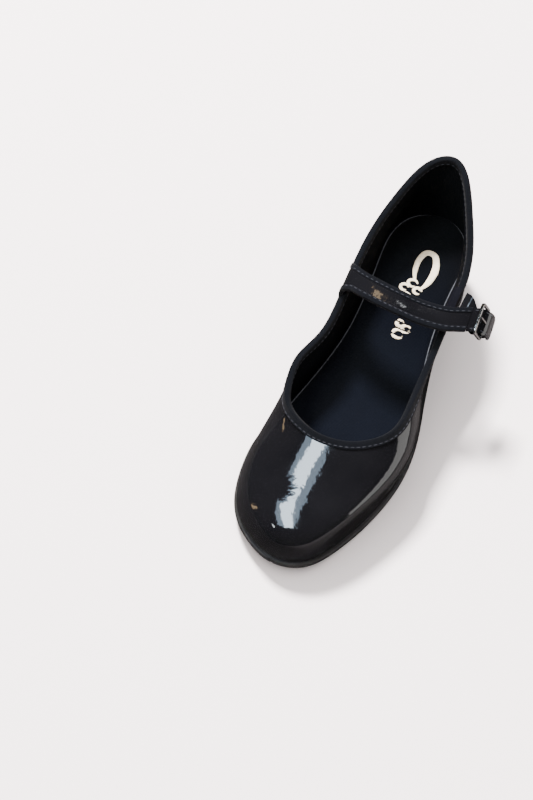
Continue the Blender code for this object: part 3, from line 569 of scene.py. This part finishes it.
def build_topline_tape():
    """Ribbed tape folded over the topline: fine ribs run across it."""
    ribs = 560
    u = turn_stations(ribs * 4)
    rib = np.tile([0.0, 0.07, 0.1, 0.07], ribs)
    profile = [(-TAPE_FAR, -TAPE_HEIGHT), (-TAPE_FAR, -2.2), (-TAPE_FAR, -1.1),
               (-TAPE_FAR, -0.2), (-TAPE_FAR * 0.75, 0.3), (-TAPE_FAR * 0.2, 0.58),
               (CUFF * 0.5, 0.68), (CUFF + TAPE_FAR * 0.2, 0.58), (CUFF + TAPE_FAR * 0.75, 0.3),
               (CUFF + TAPE_FAR, -0.2), (CUFF + TAPE_FAR, -1.1), (CUFF + TAPE_FAR, -2.2),
               (CUFF + TAPE_FAR, -TAPE_HEIGHT)]
    inner = [(CUFF + TAPE_NEAR, -TAPE_HEIGHT), (CUFF + TAPE_NEAR, 0.0), (CUFF * 0.5, TAPE_NEAR),
             (-TAPE_NEAR, 0.0), (-TAPE_NEAR, -TAPE_HEIGHT)]
    middle = CUFF * 0.5
    rings = []
    for depth, lift in profile:
        ring = topline_point(u, depth, lift)
        out = unit(ring - topline_point(u, middle, -1.2))
        edge_fade = 0.35 if lift == -TAPE_HEIGHT else 1.0
        rings.append(ring + out * (rib * edge_fade)[:, None])
    rings += [topline_point(u, depth, lift) for depth, lift in inner]
    tape = solid("topline_tape", np.stack(rings, axis=1), True, "tape_cloth")
    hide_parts("topline_binding")

    for name, depth in (("topline_stitches_outside", -TAPE_FAR - 0.13),
                        ("topline_stitches_inside", CUFF + TAPE_FAR + 0.13)):
        fine = turn_stations(2400)
        line = topline_point(fine, depth, STITCH_LINE)
        length = np.concatenate([[0], np.cumsum(np.linalg.norm(np.diff(line, axis=0), axis=1))])
        count = int(length[-1] / STITCH_PITCH)
        at = (np.arange(count) + 0.5) * length[-1] / count
        u_at = np.interp(at, length, fine)
        spots = topline_point(u_at, depth, STITCH_LINE)
        ways = unit(topline_point(u_at + 0.01, depth, STITCH_LINE) - spots)
        outs = unit(spots - topline_point(u_at, middle, STITCH_LINE))
        stitch_row(name, spots, ways, outs, "thread")


def wall_pad(u, shares, near, thick):
    """Sections of a pad on the wall; its thickness is given for each station."""
    inner = [wall(u, t, near) for t in shares]
    outer = [low + wall_frame(u, t)[1] * thick[:, None] for low, t in zip(inner, shares)]
    return np.stack(outer + inner[::-1], axis=1)


def build_back_stay():
    """Patent strip over the back seam, sewn down both sides."""
    half = STAY_WIDTH / 2 / HEEL_STATION
    u = np.linspace(-half, half, 25)
    edge = 1.0 - np.clip((np.abs(u) / half - 0.86) / 0.14, 0, 1) ** 2 * 0.55
    sections = wall_pad(u, np.linspace(0.05, 0.88, 34), -GAP, 0.9 * edge)
    stay = solid("back_stay_patent", sections, False, "patent")
    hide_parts("back_stay")
    spots, ways, outs = [], [], []
    for side in (-1, 1):
        for t in np.linspace(0.08, 0.86, 19):
            here, out, _, up = wall_frame([side * half * 0.8], t)
            spots.append(here[0] + out[0] * (GAP + 1.0))
            ways.append(up[0])
            outs.append(out[0])
    stitch_row("back_stay_stitches", np.array(spots), np.array(ways), np.array(outs),
                       "thread", 2.0)


# ---------------------------------------------------------------- inside

def inside_outline(lift, clearance, count=192):
    """Outline of the room inside the lining at a height over the feather line."""
    u = turn_stations(count)
    depth = LINING_DEPTH + LINING_THICK
    shares = np.linspace(0.0, 0.8, 25)
    face = np.stack([wall(u, max(t, 0.004), depth) for t in shares], axis=1)
    face[:, 0] = foot_point(u, depth, depth)
    out = wall_handles(u)[4]
    level = bottom_height(face[:, 0, 1]) + lift
    ring = []
    for column, z, normal in zip(face, level, out):
        spot = [np.interp(z, column[:, 2], column[:, axis]) for axis in (0, 1)]
        spot = np.array(spot) - normal * clearance
        ring.append((spot[0], spot[1], bottom_height(spot[1]) + lift))
    return np.array(ring)


def across(ring, k, steps):
    """Points from station k of a closed outline to its pair on the other side."""
    return ring[k] + (ring[-k] - ring[k]) * steps[:, None]


def build_sock():
    """Foam-backed sock: full over the middle, turning down at its edge."""
    low = inside_outline(SOCK_BOTTOM, GAP)
    high = inside_outline(SOCK_BOTTOM + SOCK_THICK, GAP)
    steps = np.concatenate([[0.0, 0.012, 0.03, 0.06], np.linspace(0.1, 0.9, 21),
                            [0.94, 0.97, 0.988, 1.0]])
    edge = 1.0 - (np.clip((0.06 - np.minimum(steps, 1 - steps)) / 0.06, 0, 1)) ** 2
    rows = []
    for k in range(len(high) // 2 - 1):
        tucked = across(high, k + 1, steps)
        wave = 0.10 * np.sin(steps * 9.0 + k * 0.21) * np.sin(k * 0.13 + steps * 3.0)
        crown = 0.35 * np.sin(np.pi * steps)
        tucked[:, 2] += (edge - 1.0) * 0.95 + (crown + wave) * edge
        rows.append(np.concatenate([tucked, across(low, k + 1, steps)[::-1]]))
    sections = np.array(rows)
    sock = solid("sock_pad", sections, False, "sock_cloth")
    edge_line = high - np.array([0.0, 0.0, 0.55])
    inward = plan_normals(edge_line, np.roll(edge_line, -1, axis=0))
    edge_line[:, :2] -= inward * 0.15
    side = np.column_stack([inward, np.zeros(len(inward))])
    rings = [edge_line + 0.3 * (side * x + np.array([0.0, 0.0, y])) for x, y in circle(8)]
    edging = solid("sock_edging", np.stack(rings, axis=1), True, "edge_thread")
    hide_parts("sock_lining")
    return sections[:, :len(steps)]


def sock_level(top, x, y):
    """Height of the sock's top at a plan point."""
    flat = top.reshape(-1, 3)
    gap = (flat[:, 0] - x) ** 2 + (flat[:, 1] - y) ** 2
    near = np.argsort(gap)[:4]
    weight = 1.0 / (gap[near] + 0.05)
    return float((flat[near, 2] * weight).sum() / weight.sum())


def ink_stroke(points, faces, top, path, widths):
    """A flat brush stroke that lies on the sock."""
    path, at = even_path(smooth_path(path, 8), 0.5)
    share = at / at[-1]
    wide = np.interp(share, np.linspace(0, 1, len(widths)), widths)
    way = unit(np.gradient(path, axis=0))
    side = np.column_stack([-way[:, 1], way[:, 0]])
    faces += grid_faces(len(path), 5, first=len(points))
    for spot, edge_way, half in zip(path, side, wide):
        for step in (-1.0, -0.5, 0.0, 0.5, 1.0):
            x, y = spot + edge_way * step * half
            points.append((x, y, sock_level(top, x, y) + 0.10 + 0.03 * (1 - step * step)))


def ink_curls(points, faces, top, spots, stretch, turn, widths):
    """Open rings, each given by its middle and size."""
    for x, y, size in spots:
        path = [(x + size * stretch * math.cos(a), y + size * math.sin(a)) for a in turn]
        ink_stroke(points, faces, top, path, widths)


def build_print(top):
    """Generic scroll ornament printed on the sock, with no lettering."""
    points, faces = [], []
    scroll = [(6.6, 162.0), (9.2, 168.0), (9.4, 177.0), (6.2, 184.6), (1.4, 185.2),
              (-0.6, 179.5), (0.2, 172.0), (2.6, 166.0)]
    ink_stroke(points, faces, top, scroll, [0.5, 1.6, 1.9, 1.6, 1.7, 1.5, 1.3, 0.5])
    ink_curls(points, faces, top, ((2.2, 164.6, 2.0), (6.2, 161.4, 1.7), (-0.9, 161.0, 1.7)),
              1.25, np.linspace(0.3, 5.4, 8), [0.35, 0.8, 0.8, 0.35])
    ink_stroke(points, faces, top, [(-2.6, 157.6), (1.6, 158.4), (5.4, 157.2)], [0.3, 0.7, 0.3])
    ink_curls(points, faces, top, ((6.2, 137.4, 2.1), (9.0, 141.0, 1.7), (5.0, 142.4, 1.4)),
              1.3, np.linspace(0.6, 6.0, 9), [0.4, 0.9, 0.9, 0.4])
    ink = make_piece("printed_ornament", points, faces, "print_ink")
    thick = ink.modifiers.new("thickness", "SOLIDIFY")
    thick.thickness = 0.00008
    thick.offset = -1.0


# ---------------------------------------------------------------- strap and buckle

# Middle line of the strap beyond its root, and the way its width lies
STRAP_PATH = (
    (-22.2, 136.4, 58.6, 0.00, 0.98, 0.20),
    (-18.2, 135.3, 60.9, 0.00, 0.98, 0.17),
    (-11.0, 132.8, 62.6, 0.00, 1.00, 0.10),
    (4.0, 130.6, 63.2, 0.00, 1.00, 0.08),
    (18.0, 129.9, 62.8, 0.00, 1.00, 0.09),
    (30.0, 131.5, 62.4, -0.05, 0.98, 0.18),
    (37.0, 134.6, 62.0, -0.08, 0.95, 0.27),
    (41.0, 136.8, 61.4, -0.08, 0.95, 0.30),
)


def strap_root_path():
    """The strap's path up to the topline, just under the outer face of the upper."""
    rows = []
    for t in (0.78, 0.86, 0.94, 1.0):
        here, out, way, _ = wall_frame([ANCHOR_STATION], t)
        spot = here[0] - out[0] * STRAP_ROOT_DEPTH
        rows.append((*spot, *(-way[0] if way[0][1] < 0 else way[0])))
    return rows


def build_strap():
    """Patent face and lining between two folded tapes, with a stitch row on each fold."""
    controls = np.vstack([strap_root_path(), STRAP_PATH])
    path, at = even_path(smooth_path(controls, 14), 0.175)
    middle, width, up, along = band_frames(path)
    # The root is thinner, and spreads where it is sewn down.
    thin = np.interp(at, [0.0, 6.0, 10.0], [0.55, 0.75, 1.0])[:, None]
    flare = np.interp(at, [0.0, 8.0, 13.0, 19.0], [4.6, 3.4, 1.3, 0.0])
    top = STRAP_CORE / 2
    low = -STRAP_CORE / 2
    split = top - STRAP_PATENT

    def band(name, outer, inner, material, slot, nodes, ribs=None):
        rings = []
        for across, lift, swell in outer + inner[::-1]:
            bulge = 0.0 if ribs is None else ribs[:, None] * swell
            reach = across + flare * min(max(across / lip, -1.0), 1.0)
            rings.append(middle + width * reach[:, None] + up * (lift * thin + bulge))
        piece = solid(name, np.stack(rings, axis=1), False, material, None)
        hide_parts(*nodes)
        blend_strap(piece)
        return piece

    half = STRAP_HALF
    lip = half - STRAP_LIP
    across = np.linspace(-half, half, 19)
    outer = [(a, top + 0.22 * (1 - (a / half) ** 2), 0) for a in across]
    inner = [(a, split, 0) for a in across]
    band("strap_patent_face", outer, inner, "patent", "patent", ["strap_patent"])
    outer = [(a, split - 0.1, 0) for a in across]
    inner = [(a, low, 0) for a in across]
    band("strap_lining", outer, inner, "lining_cloth", "lining", ["strap_backing"])
    ribs = 0.1 * np.array([0.0, 0.7, 1.0, 0.7])[np.arange(len(path)) % 4]
    for name, side, node in (("strap_tape_front", -1, "strap_binding_front"),
                             ("strap_tape_rear", 1, "strap_binding_rear")):
        outer = [(side * a, z, s) for a, z, s in (
            (lip, top + 0.26, 0.3), (lip + 0.2, top + 0.46, 1), (lip + 1.2, top + 0.46, 1),
            (half - 0.1, top + 0.42, 1), (half + 0.25, top + 0.24, 0.6), (half + 0.4, top - 0.1, 0),
            (half + 0.4, low + 0.1, 0), (half + 0.25, low - 0.24, -0.6),
            (half - 0.1, low - 0.42, -1), (lip + 1.2, low - 0.46, -1), (lip + 0.2, low - 0.46, -1),
            (lip, low - 0.26, -0.3))]
        inner = [(side * a, z, 0) for a, z in (
            (lip, top + 0.16), (half, top + 0.14), (half + 0.14, top), (half + 0.14, low),
            (half, low - 0.14), (lip, low - 0.14))]
        band(name, outer, inner, "tape_cloth", "binding", [node], ribs)
        count = int(at[-1] / STITCH_PITCH)
        marks = (np.arange(count) + 0.5) / count * at[-1]
        for face, lift in (("top", top + 0.56), ("under", low - 0.56)):
            spots = middle + width * (side * (lip + 0.75 + flare))[:, None] + up * (lift * thin)
            spots, ways, ups = (np.column_stack([np.interp(marks, at, line[:, k])
                                                 for k in range(3)])
                                for line in (spots, along, up))
            outs = ups * (1 if face == "top" else -1)
            row = stitch_row(name + "_stitches_" + face, spots, ways, outs, "thread", body=None)
            blend_strap(row)


def blend_strap(piece):
    """The strap is fixed at its root on the inner wall; this bakes the piece's placement into its
    mesh.
    """
    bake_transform(piece)


def buckle_point(up, out, along=0.0):
    """Point given from the middle of the buckle's bar: up the rim, outwards, along the bar."""
    return BAR_CENTRE + RIM_WAY * up + BUCKLE_OUT * out + BAR_WAY * along


def wire_piece(name, path, wide, high, flat_way, closed, body, nodes):
    """Nickel wire of a rounded square section along a path."""
    path = np.asarray(path, float)
    if closed:
        along = unit(np.roll(path, -1, 0) - np.roll(path, 1, 0))
    else:
        along = unit(np.gradient(path, axis=0))
    high_way = np.array(flat_way)
    wide_way = unit(np.cross(along, high_way))
    rings = []
    for x, y in circle(16):
        square = 1.0 / max(abs(x), abs(y)) ** 0.35
        rings.append(path + wide_way * x * square * wide + high_way * y * square * high)
    piece = solid(name, np.stack(rings, axis=1), closed, "nickel", body)
    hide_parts(*nodes)
    return piece


def build_buckle():
    """Rounded wire rim, and a tongue that hooks round the bar."""
    half = STRAP_HALF + GAP + 0.9 + 0.2
    opening, corner = 9.4, 1.6
    path = []
    for across, up, start in ((half, opening, 0), (-half, opening, 90), (-half, 0.0, 180),
                              (half, 0.0, 270)):
        middle_across = across - math.copysign(corner, across)
        middle_up = up - corner if up else corner
        for angle in np.radians(start + np.linspace(0, 90, 12)):
            path.append(buckle_point(middle_up + corner * math.sin(angle), 0.0,
                                     middle_across + corner * math.cos(angle)))
    wire_piece("buckle_rim", path, 0.86, 0.80, BUCKLE_OUT, True, "frame", ["buckle_frame"])
    wrap = 0.9 + GAP + 0.55
    path = [buckle_point(up, wrap) for up in np.linspace(opening + 1.4, 0.0, 24)]
    for angle in np.radians(np.linspace(-8, -250, 32)):
        path.append(buckle_point(wrap * math.sin(angle), wrap * math.cos(angle)))
    wire_piece("buckle_tongue", path, 0.54, 0.5, BAR_WAY, False, "prong", ["buckle_prong"])


def rounded_band(path, half, thick, tip):
    """Sections of a leather band with softened edges, which narrows to a rounded tip."""
    path, at = even_path(path, 0.35)
    middle, width, up, _ = band_frames(path)
    left = np.clip((at[-1] - at) / tip, 0.0, 1.0)
    narrow = np.sqrt(np.clip(1.0 - (1.0 - left) ** 2, 0.02, 1.0))
    face = np.linspace(-1.0, 1.0, 15)
    soft = 1.0 - 0.35 * np.clip((np.abs(face) - 0.86) / 0.14, 0, 1) ** 2
    rings = [middle + width * (a * half * narrow)[:, None] + up * (sign * thick / 2 * s)
             for sign in (1, -1) for a, s in zip(face[::sign], soft)]
    return np.stack(rings, axis=1)


def cut_hole(piece, centre, way, radius, depth):
    """Round hole through a piece, by a cutter that is removed once it has cut."""
    turn = tilt(way)
    rings = [[centre + turn @ Vector((radius * x, radius * y, z)) for x, y in circle(20, 0.3)]
             for z in (-depth, depth)]
    cutter = solid("cutter", rings, False, "thread", None)
    step = piece.modifiers.new("hole", "BOOLEAN")
    step.operation = "DIFFERENCE"
    step.solver = "EXACT"
    step.object = cutter
    bpy.context.view_layer.update()
    graph = bpy.context.evaluated_depsgraph_get()
    mesh = bpy.data.meshes.new_from_object(piece.evaluated_get(graph))
    piece.modifiers.clear()
    piece.data = mesh
    bpy.data.objects.remove(cutter, do_unlink=True)


def build_strap_end():
    """The strap's free end: it comes through the buckle and points down and outwards."""
    spots = ((5.9, -1.9), (4.9, 0.4), (2.3, 2.3), (-0.5, 2.7), (-3.8, 2.1), (-7.0, 1.0))
    way = tuple(BAR_WAY)
    start = (41.3, 136.94, 61.38) + way  # where the bound part of the strap stops
    path = smooth_path([start] + [tuple(buckle_point(*spot)) + way for spot in spots], 10)
    end = solid("strap_free_end", rounded_band(path, STRAP_HALF, 1.6, 5.0), False, "patent", None)
    cut_hole(end, buckle_point(-3.0, 2.3), BUCKLE_OUT, 1.0, 3.0)
    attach(end, "strap")
    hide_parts("strap_end")
    end_path, at = even_path(path, 0.35)
    middle, width, up, along = band_frames(end_path)
    spots, ways, outs = [], [], []
    for side in (-1, 1):
        for mark in np.arange(2.0, at[-1] - 3.2, 2.6):
            i = int(np.argmin(np.abs(at - mark)))
            for face in (1, -1):
                spots.append(middle[i] + width[i] * side * (STRAP_HALF - 1.3)
                             + up[i] * face * 0.86)
                ways.append(along[i])
                outs.append(up[i] * face)
    row = stitch_row("strap_free_end_stitches", np.array(spots), np.array(ways),
                     np.array(outs), "thread", 1.8)
    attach(row, "strap")


def build_chape():
    """Leather tab folded round the buckle's bar, with a slot for the tongue."""
    way = tuple(BAR_WAY)
    controls = [(34.4, 145.2, 59.9, 0.05, 0.95, 0.28), (38.0, 143.2, 60.6, 0.05, 0.92, 0.36)]
    controls += [tuple(BAR_CENTRE + CHAPE_WAY * step) + way for step in (5.6, 3.0)]
    path = smooth_path(controls, 6)
    middle, width, up, _ = band_frames(path)
    leaf = 0.5
    upper = np.column_stack([middle + up * leaf, width])
    lower = np.column_stack([middle - up * leaf, width])
    loop = 0.9 + GAP + 0.4
    over = Vector(up[-1])
    turn = []
    for angle in np.radians(np.linspace(44, 316, 26)):
        spot = CHAPE_WAY * loop * math.cos(angle) + over * loop * math.sin(angle)
        turn.append(tuple(BAR_CENTRE + spot) + way)
    path = np.vstack([upper, turn, lower[::-1]])
    half = 0.4
    middle, width, up, _ = band_frames(path)
    face = np.linspace(-1.0, 1.0, 13)
    rings = [middle + width * a * 6.0 + up * half for a in face]
    rings += [middle + width * a * 6.0 - up * half for a in face[::-1]]
    chape = solid("buckle_tab", np.stack(rings, axis=1), False, "patent", None)
    cut_hole(chape, BAR_CENTRE, BAR_WAY, 4.6, 0.85)
    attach(chape, "buckle_tab")
    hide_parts("buckle_chape")


def build_anchors():
    """The strap's sewn root outside the inner wall, and the elastic inside the outer wall."""
    u = np.linspace(ANCHOR_STATION - 0.22, ANCHOR_STATION + 0.22, 33)
    edge = 1.0 - np.clip((np.abs(np.linspace(-1, 1, 33)) - 0.88) / 0.12, 0, 1) ** 2 * 0.6
    sections = wall_pad(u, np.linspace(0.76, 0.985, 26), -(TAPE_FAR + 0.05), 0.5 * edge)
    root = solid("strap_root", sections, False, "patent")
    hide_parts("strap_anchor")

    ribs = 22
    count = ribs * 4 + 1
    u = np.linspace(ELASTIC_STATION - 0.22, ELASTIC_STATION + 0.22, count)
    rib = 0.13 * np.array([0.0, 0.7, 1.0, 0.7])[np.arange(count) % 4]
    depth = LINING_DEPTH + LINING_THICK + GAP + 0.15
    rows = [(wall(u, t, depth), wall(u, t, depth + 1.0)) for t in np.linspace(0.7, 1.0, 12)]
    top = wall(u, 1.0)
    out = top - wall(u, 1.0, 1.0)
    rise = TAPE_FAR + GAP
    up = np.array([0.0, 0.0, 1.0])
    for step, low, high in ((-2.9, rise + 0.4, rise + 1.6), (-1.5, rise + 0.7, rise + 1.9),
                            (0.4, rise + 0.9, rise + 2.0)):
        rows.append((top + out * step + up * low, top + out * (step - 0.35) + up * high))
    outer, inner = [], []
    for near, far in rows:
        swell = unit(far - near) * (rib * 0.5)[:, None]
        outer.append(near - swell)
        inner.append(far + swell)
    sections = np.stack(outer + inner[::-1], axis=1)
    gore = solid("elastic_webbing", sections, False, "elastic_cloth")
    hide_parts("elastic_gore")


# ---------------------------------------------------------------- bottom

def flat_face(height):
    """A plate's face at one height all over."""
    return lambda y: height + 0 * y


def sole_plate(name, first, last, low, high, inset_low, inset_high, material, nodes,
               bow=0.0, ends=None, bevel=0.25):
    """Plate between two outlines, given by facet numbers of 48 round the shoe."""
    fine = 8
    rings = []
    for inset, face, lift in ((inset_high, high, -bevel), (inset_high + bevel, high, 0.0),
                              (inset_low + bevel, low, 0.0), (inset_low, low, bevel)):
        rings.append(plate_ring(inset, lambda y, f=face, d=lift: f(y) + d, 48 * fine))
    sections = []
    start = 1 if first == 0 else first * fine
    stop = last * fine - 1 if last == 24 else last * fine
    steps = np.linspace(0.0, 1.0, 25)
    for k in range(start, stop + 1):
        back = 1.0 - min(1.0, abs(k / fine - ends) / 3.0) if ends is not None else 0.0
        top, under = (across(ring, k, steps) for ring in rings[1:3])
        for row in (top, under):
            row[:, 1] += bow * back * (1.0 - (2.0 * steps - 1.0) ** 2)
        sections.append(np.concatenate([[rings[0][k]], top, [rings[0][-k]],
                                        [rings[3][-k]], under[::-1], [rings[3][k]]]))
    piece = solid(name, sections, False, material)
    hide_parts(*nodes)
    return piece


def build_bottom():
    """Outsole, heel and taps; returns the two taps, which the screws go through."""
    sole_plate("outsole_leather", 0, 24, lambda y: bottom_height(y) - GAP - OUTSOLE_THICK,
               lambda y: bottom_height(y) - GAP, -SOLE_EDGE, -SOLE_EDGE, "sole_leather",
               ["outsole"], bevel=0.5)
    base = TAP_THICK + GAP
    sole_plate("heel_toplift", 0, 8, flat_face(base), flat_face(base + TOPLIFT_THICK),
               HEEL_INSET, HEEL_INSET, "toplift_rubber", ["heel_top_piece"], 2.0, 8)
    sole_plate("heel_stack", 0, 8, flat_face(base + TOPLIFT_THICK + GAP),
               lambda y: bottom_height(y) - 2 * GAP - OUTSOLE_THICK, HEEL_INSET, -0.1,
               "sole_leather", ["heel_block"], 2.0, 8)
    heel = sole_plate("heel_tap", 0, 7, flat_face(0.0), flat_face(TAP_THICK), TAP_EDGE + 1.5,
                      TAP_EDGE + 1.5, "tap_alloy", ["heel_tap_plate"], 4.0, 7, 0.45)
    toe = sole_plate("toe_tap", 16, 24, toe_lift, lambda y: toe_lift(y) + TAP_THICK, TAP_EDGE,
                     TAP_EDGE, "tap_alloy", ["toe_tap_plate"], -7.0, 16, 0.45)
    sole_plate("toe_tap_backing", 16, 24, lambda y: toe_lift(y) + 2.5,
               lambda y: toe_lift(y) + 3.5, TAP_EDGE, TAP_EDGE, "board",
               ["toe_tap_board"], -7.0, 16, 0.15)
    return toe, heel


def build_screws(toe, heel):
    """Countersunk screws with a cross recess, each in a hole of its tap."""
    taps = [("toe_tap_screw_", ((-17.0, 49.0), (18.0, 49.0), (-1.0, 20.0)), 6.0, toe, toe_lift),
            ("heel_tap_screw_", ((-12.0, 183.0), (12.0, 183.0), (0.6, 202.0)), 13.0, heel,
             flat_face(0.0))]
    for stem, spots, length, plate, height in taps:
        # Radius, height and depth of the cross, from the point to the floor of the recess
        profile = [(0.2, length, 0), (1.5, length - 1.0, 0), (1.5, 2.05, 0), (3.0, 0.55, 0),
                   (2.9, 0.42, 0), (2.55, 0.33, 0), (1.9, 0.30, 0), (1.45, 0.30, 1),
                   (1.1, 0.95, 1)]
        for index, (x, y) in enumerate(spots, 1):
            slope = float(height(y + 0.5) - height(y - 0.5))
            base = Vector((x, y, float(height(y))))
            turn = tilt((0.0, -slope, 1.0))
            cut_hole(plate, base, (0.0, -slope, 1.0), 3.35, 0.55)
            rings = []
            for radius, z, cross in profile:
                reaches = [radius * (1.0 - cross * 0.62 * abs(2 * c * s) ** 0.5)
                           for c, s in circle(32)]
                rings.append([base + turn @ Vector((reach * c, -reach * s, z))
                              for reach, (c, s) in zip(reaches, circle(32))])
            name = f"{stem}{index}"
            screw = solid("machine_" + name, rings, False, "zinc_steel")
            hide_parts(name)


def finish_hidden_nodes():
    """Pieces that stay as the CAD made them get their own procedural finishes."""
    finishes = {"insole_board": "board", "bottom_filler": "cork", "shank": "zinc_steel"}
    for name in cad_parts:
        if name.startswith(("heel_nail", "shank_rivet")):
            finishes[name] = "zinc_steel"
    for name, material in finishes.items():
        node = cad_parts[name]
        for place_slot in node.material_slots:
            place_slot.material = FINISHES[material]
        if not node.material_slots:
            node.data.materials.append(FINISHES[material])


# ---------------------------------------------------------------- stage, light, camera

# Name, place, size, radiance and colour: these light the floor and the shoe
SOFT_LIGHTS = (
    ("overhead", (0.2, -0.1, 2.6), (3.4, 3.4), 2.9, (1.0, 0.955, 0.95)),
    ("key", (-0.80, 0.80, 1.75), (0.36, 0.36), 620.0, (1.0, 0.955, 0.95)),
)
# Only glossy surfaces see these: name, place, way it faces, way its long side lies, size,
# radiance and colour
GLOSS_CARDS = (
    ("window", (-0.45, -0.585, 1.5), (0, 0, -1), (-0.39, 0.92, 0), (0.36, 0.90), 13.0,
     (0.80, 0.91, 1.0)),
    ("window_border", (-0.55, -0.585, 1.53), (0, 0, -1), (-0.25, 0.97, 0), (0.74, 0.94), 3.2,
     (0.62, 0.80, 1.0)),
    ("small_window", (-0.73, -0.93, 0.92), (0.49, 0.62, -0.61), (0.78, -0.62, 0), (0.07, 0.16),
     10.0, (0.9, 0.95, 1.0)),
    ("warm_lamp", (-1.1, -0.42, 0.26), (0.93, 0.3, -0.2), (0, 0, 1), (0.05, 0.30), 3.5,
     (1.0, 0.72, 0.42)),
    ("strap_warm", (-0.48, 0.58, 1.5), (0, 0, -1), (0, 1, 0), (0.09, 0.26), 3.2,
     (1.0, 0.74, 0.46)),
    ("strap_white", (-0.24, 0.66, 1.5), (0, 0, -1), (0, 1, 0), (0.06, 0.07), 5.0,
     (0.95, 0.97, 1.0)),
    ("side_card", (1.6, 0.3, 0.45), (-1, -0.2, -0.25), (0, 1, 0), (0.7, 1.8), 1.5,
     (1.0, 0.98, 0.96)),
)

CAMERA_LENS = 75.798
CAMERA_BACK = Vector((0.2287, -0.4778, 0.8482)).normalized()
CAMERA_AIM = (-53.09, 107.50, -34.40)  # in the drawing's frame, in millimetres
CAMERA_DISTANCE = 0.90034


def build_stage():
    """Pale floor; the gloss sees it dark, less so on the buckle's side."""
    nodes, links, shader = new_material("studio_floor")
    tone = ramp(nodes, links, noise(nodes, links, 1.2, 1.0),
                [(0.3, (0.85, 0.795, 0.79)), (0.7, (0.865, 0.81, 0.805))])
    side = spread(nodes, links, axes(nodes, links)["X"], 1.0, 0.92, 0.02, 0.12)
    dim = maths(nodes, links, "MULTIPLY", dim_in_gloss(nodes, links, 0.0, 0.987), side)
    colour = mix_colour(nodes, links, "MIX", dim, tone, (0.0, 0.0, 0.0, 1.0))
    fill(links, shader, {"Base Color": colour, "Roughness": 0.9, "Specular IOR Level": 0.1})
    mesh = bpy.data.meshes.new("floor")
    mesh.from_pydata([(-6, -6, 0), (6, -6, 0), (6, 6, 0), (-6, 6, 0)], [], [(0, 1, 2, 3)])
    floor = bpy.data.objects.new("floor", mesh)
    mesh.materials.append(FINISHES["studio_floor"])
    bpy.context.scene.collection.objects.link(floor)


def area_light(name, spot, facing, long_way, size, radiance, colour):
    """Rectangle of a radiance, which faces one way and has its long side along another."""
    light = bpy.data.lights.new(name, "AREA")
    light.shape = "RECTANGLE"
    light.size, light.size_y = size
    light.energy = radiance * math.pi * size[0] * size[1]
    light.color = colour
    holder = bpy.data.objects.new(name, light)
    back = -Vector(facing).normalized()
    up = Vector(long_way)
    up = (up - up.dot(back) * back).normalized()
    turn = Matrix((up.cross(back), up, back)).transposed()
    holder.rotation_euler = turn.to_euler()
    holder.location = spot
    bpy.context.scene.collection.objects.link(holder)
    return holder


def dim_in_gloss(nodes, links, bright, dim):
    """A strength that glossy rays see as dim."""
    path = nodes.new("ShaderNodeLightPath")
    return spread(nodes, links, path.outputs["Is Glossy Ray"], bright, dim)


def build_lights():
    """Soft light from above and the left; a window and cards that only the gloss shows."""
    world = bpy.data.worlds.new("studio")
    bpy.context.scene.world = world
    world.use_nodes = True
    nodes, links = world.node_tree.nodes, world.node_tree.links
    back = nodes["Background"]
    back.inputs["Color"].default_value = (1.0, 0.985, 0.98, 1.0)
    links.new(dim_in_gloss(nodes, links, 0.75, 0.035), back.inputs["Strength"])
    for name, spot, size, radiance, colour in SOFT_LIGHTS:
        way = Vector((0, 0, 0)) - Vector(spot)
        light = area_light(name, spot, way, (0, 1, 0), size, radiance, colour)
        light.visible_glossy = False
    for card in GLOSS_CARDS:
        area_light(*card).visible_diffuse = False


def build_camera():
    """The camera that the shoe's curves were fitted through."""
    camera = bpy.data.cameras.new("camera")
    camera.sensor_width = 36.0
    camera.lens = CAMERA_LENS
    holder = bpy.data.objects.new("camera", camera)
    holder.location = place(CAMERA_AIM) + CAMERA_BACK * CAMERA_DISTANCE
    holder.rotation_euler = (-CAMERA_BACK).to_track_quat("-Z", "Y").to_euler()
    bpy.context.scene.collection.objects.link(holder)
    bpy.context.scene.camera = holder


make_materials()
build_upper()
build_topline_tape()
build_back_stay()
build_print(build_sock())
build_strap()
build_strap_end()
build_buckle()
build_chape()
build_anchors()
build_screws(*build_bottom())
finish_hidden_nodes()
build_stage()
build_lights()
build_camera()
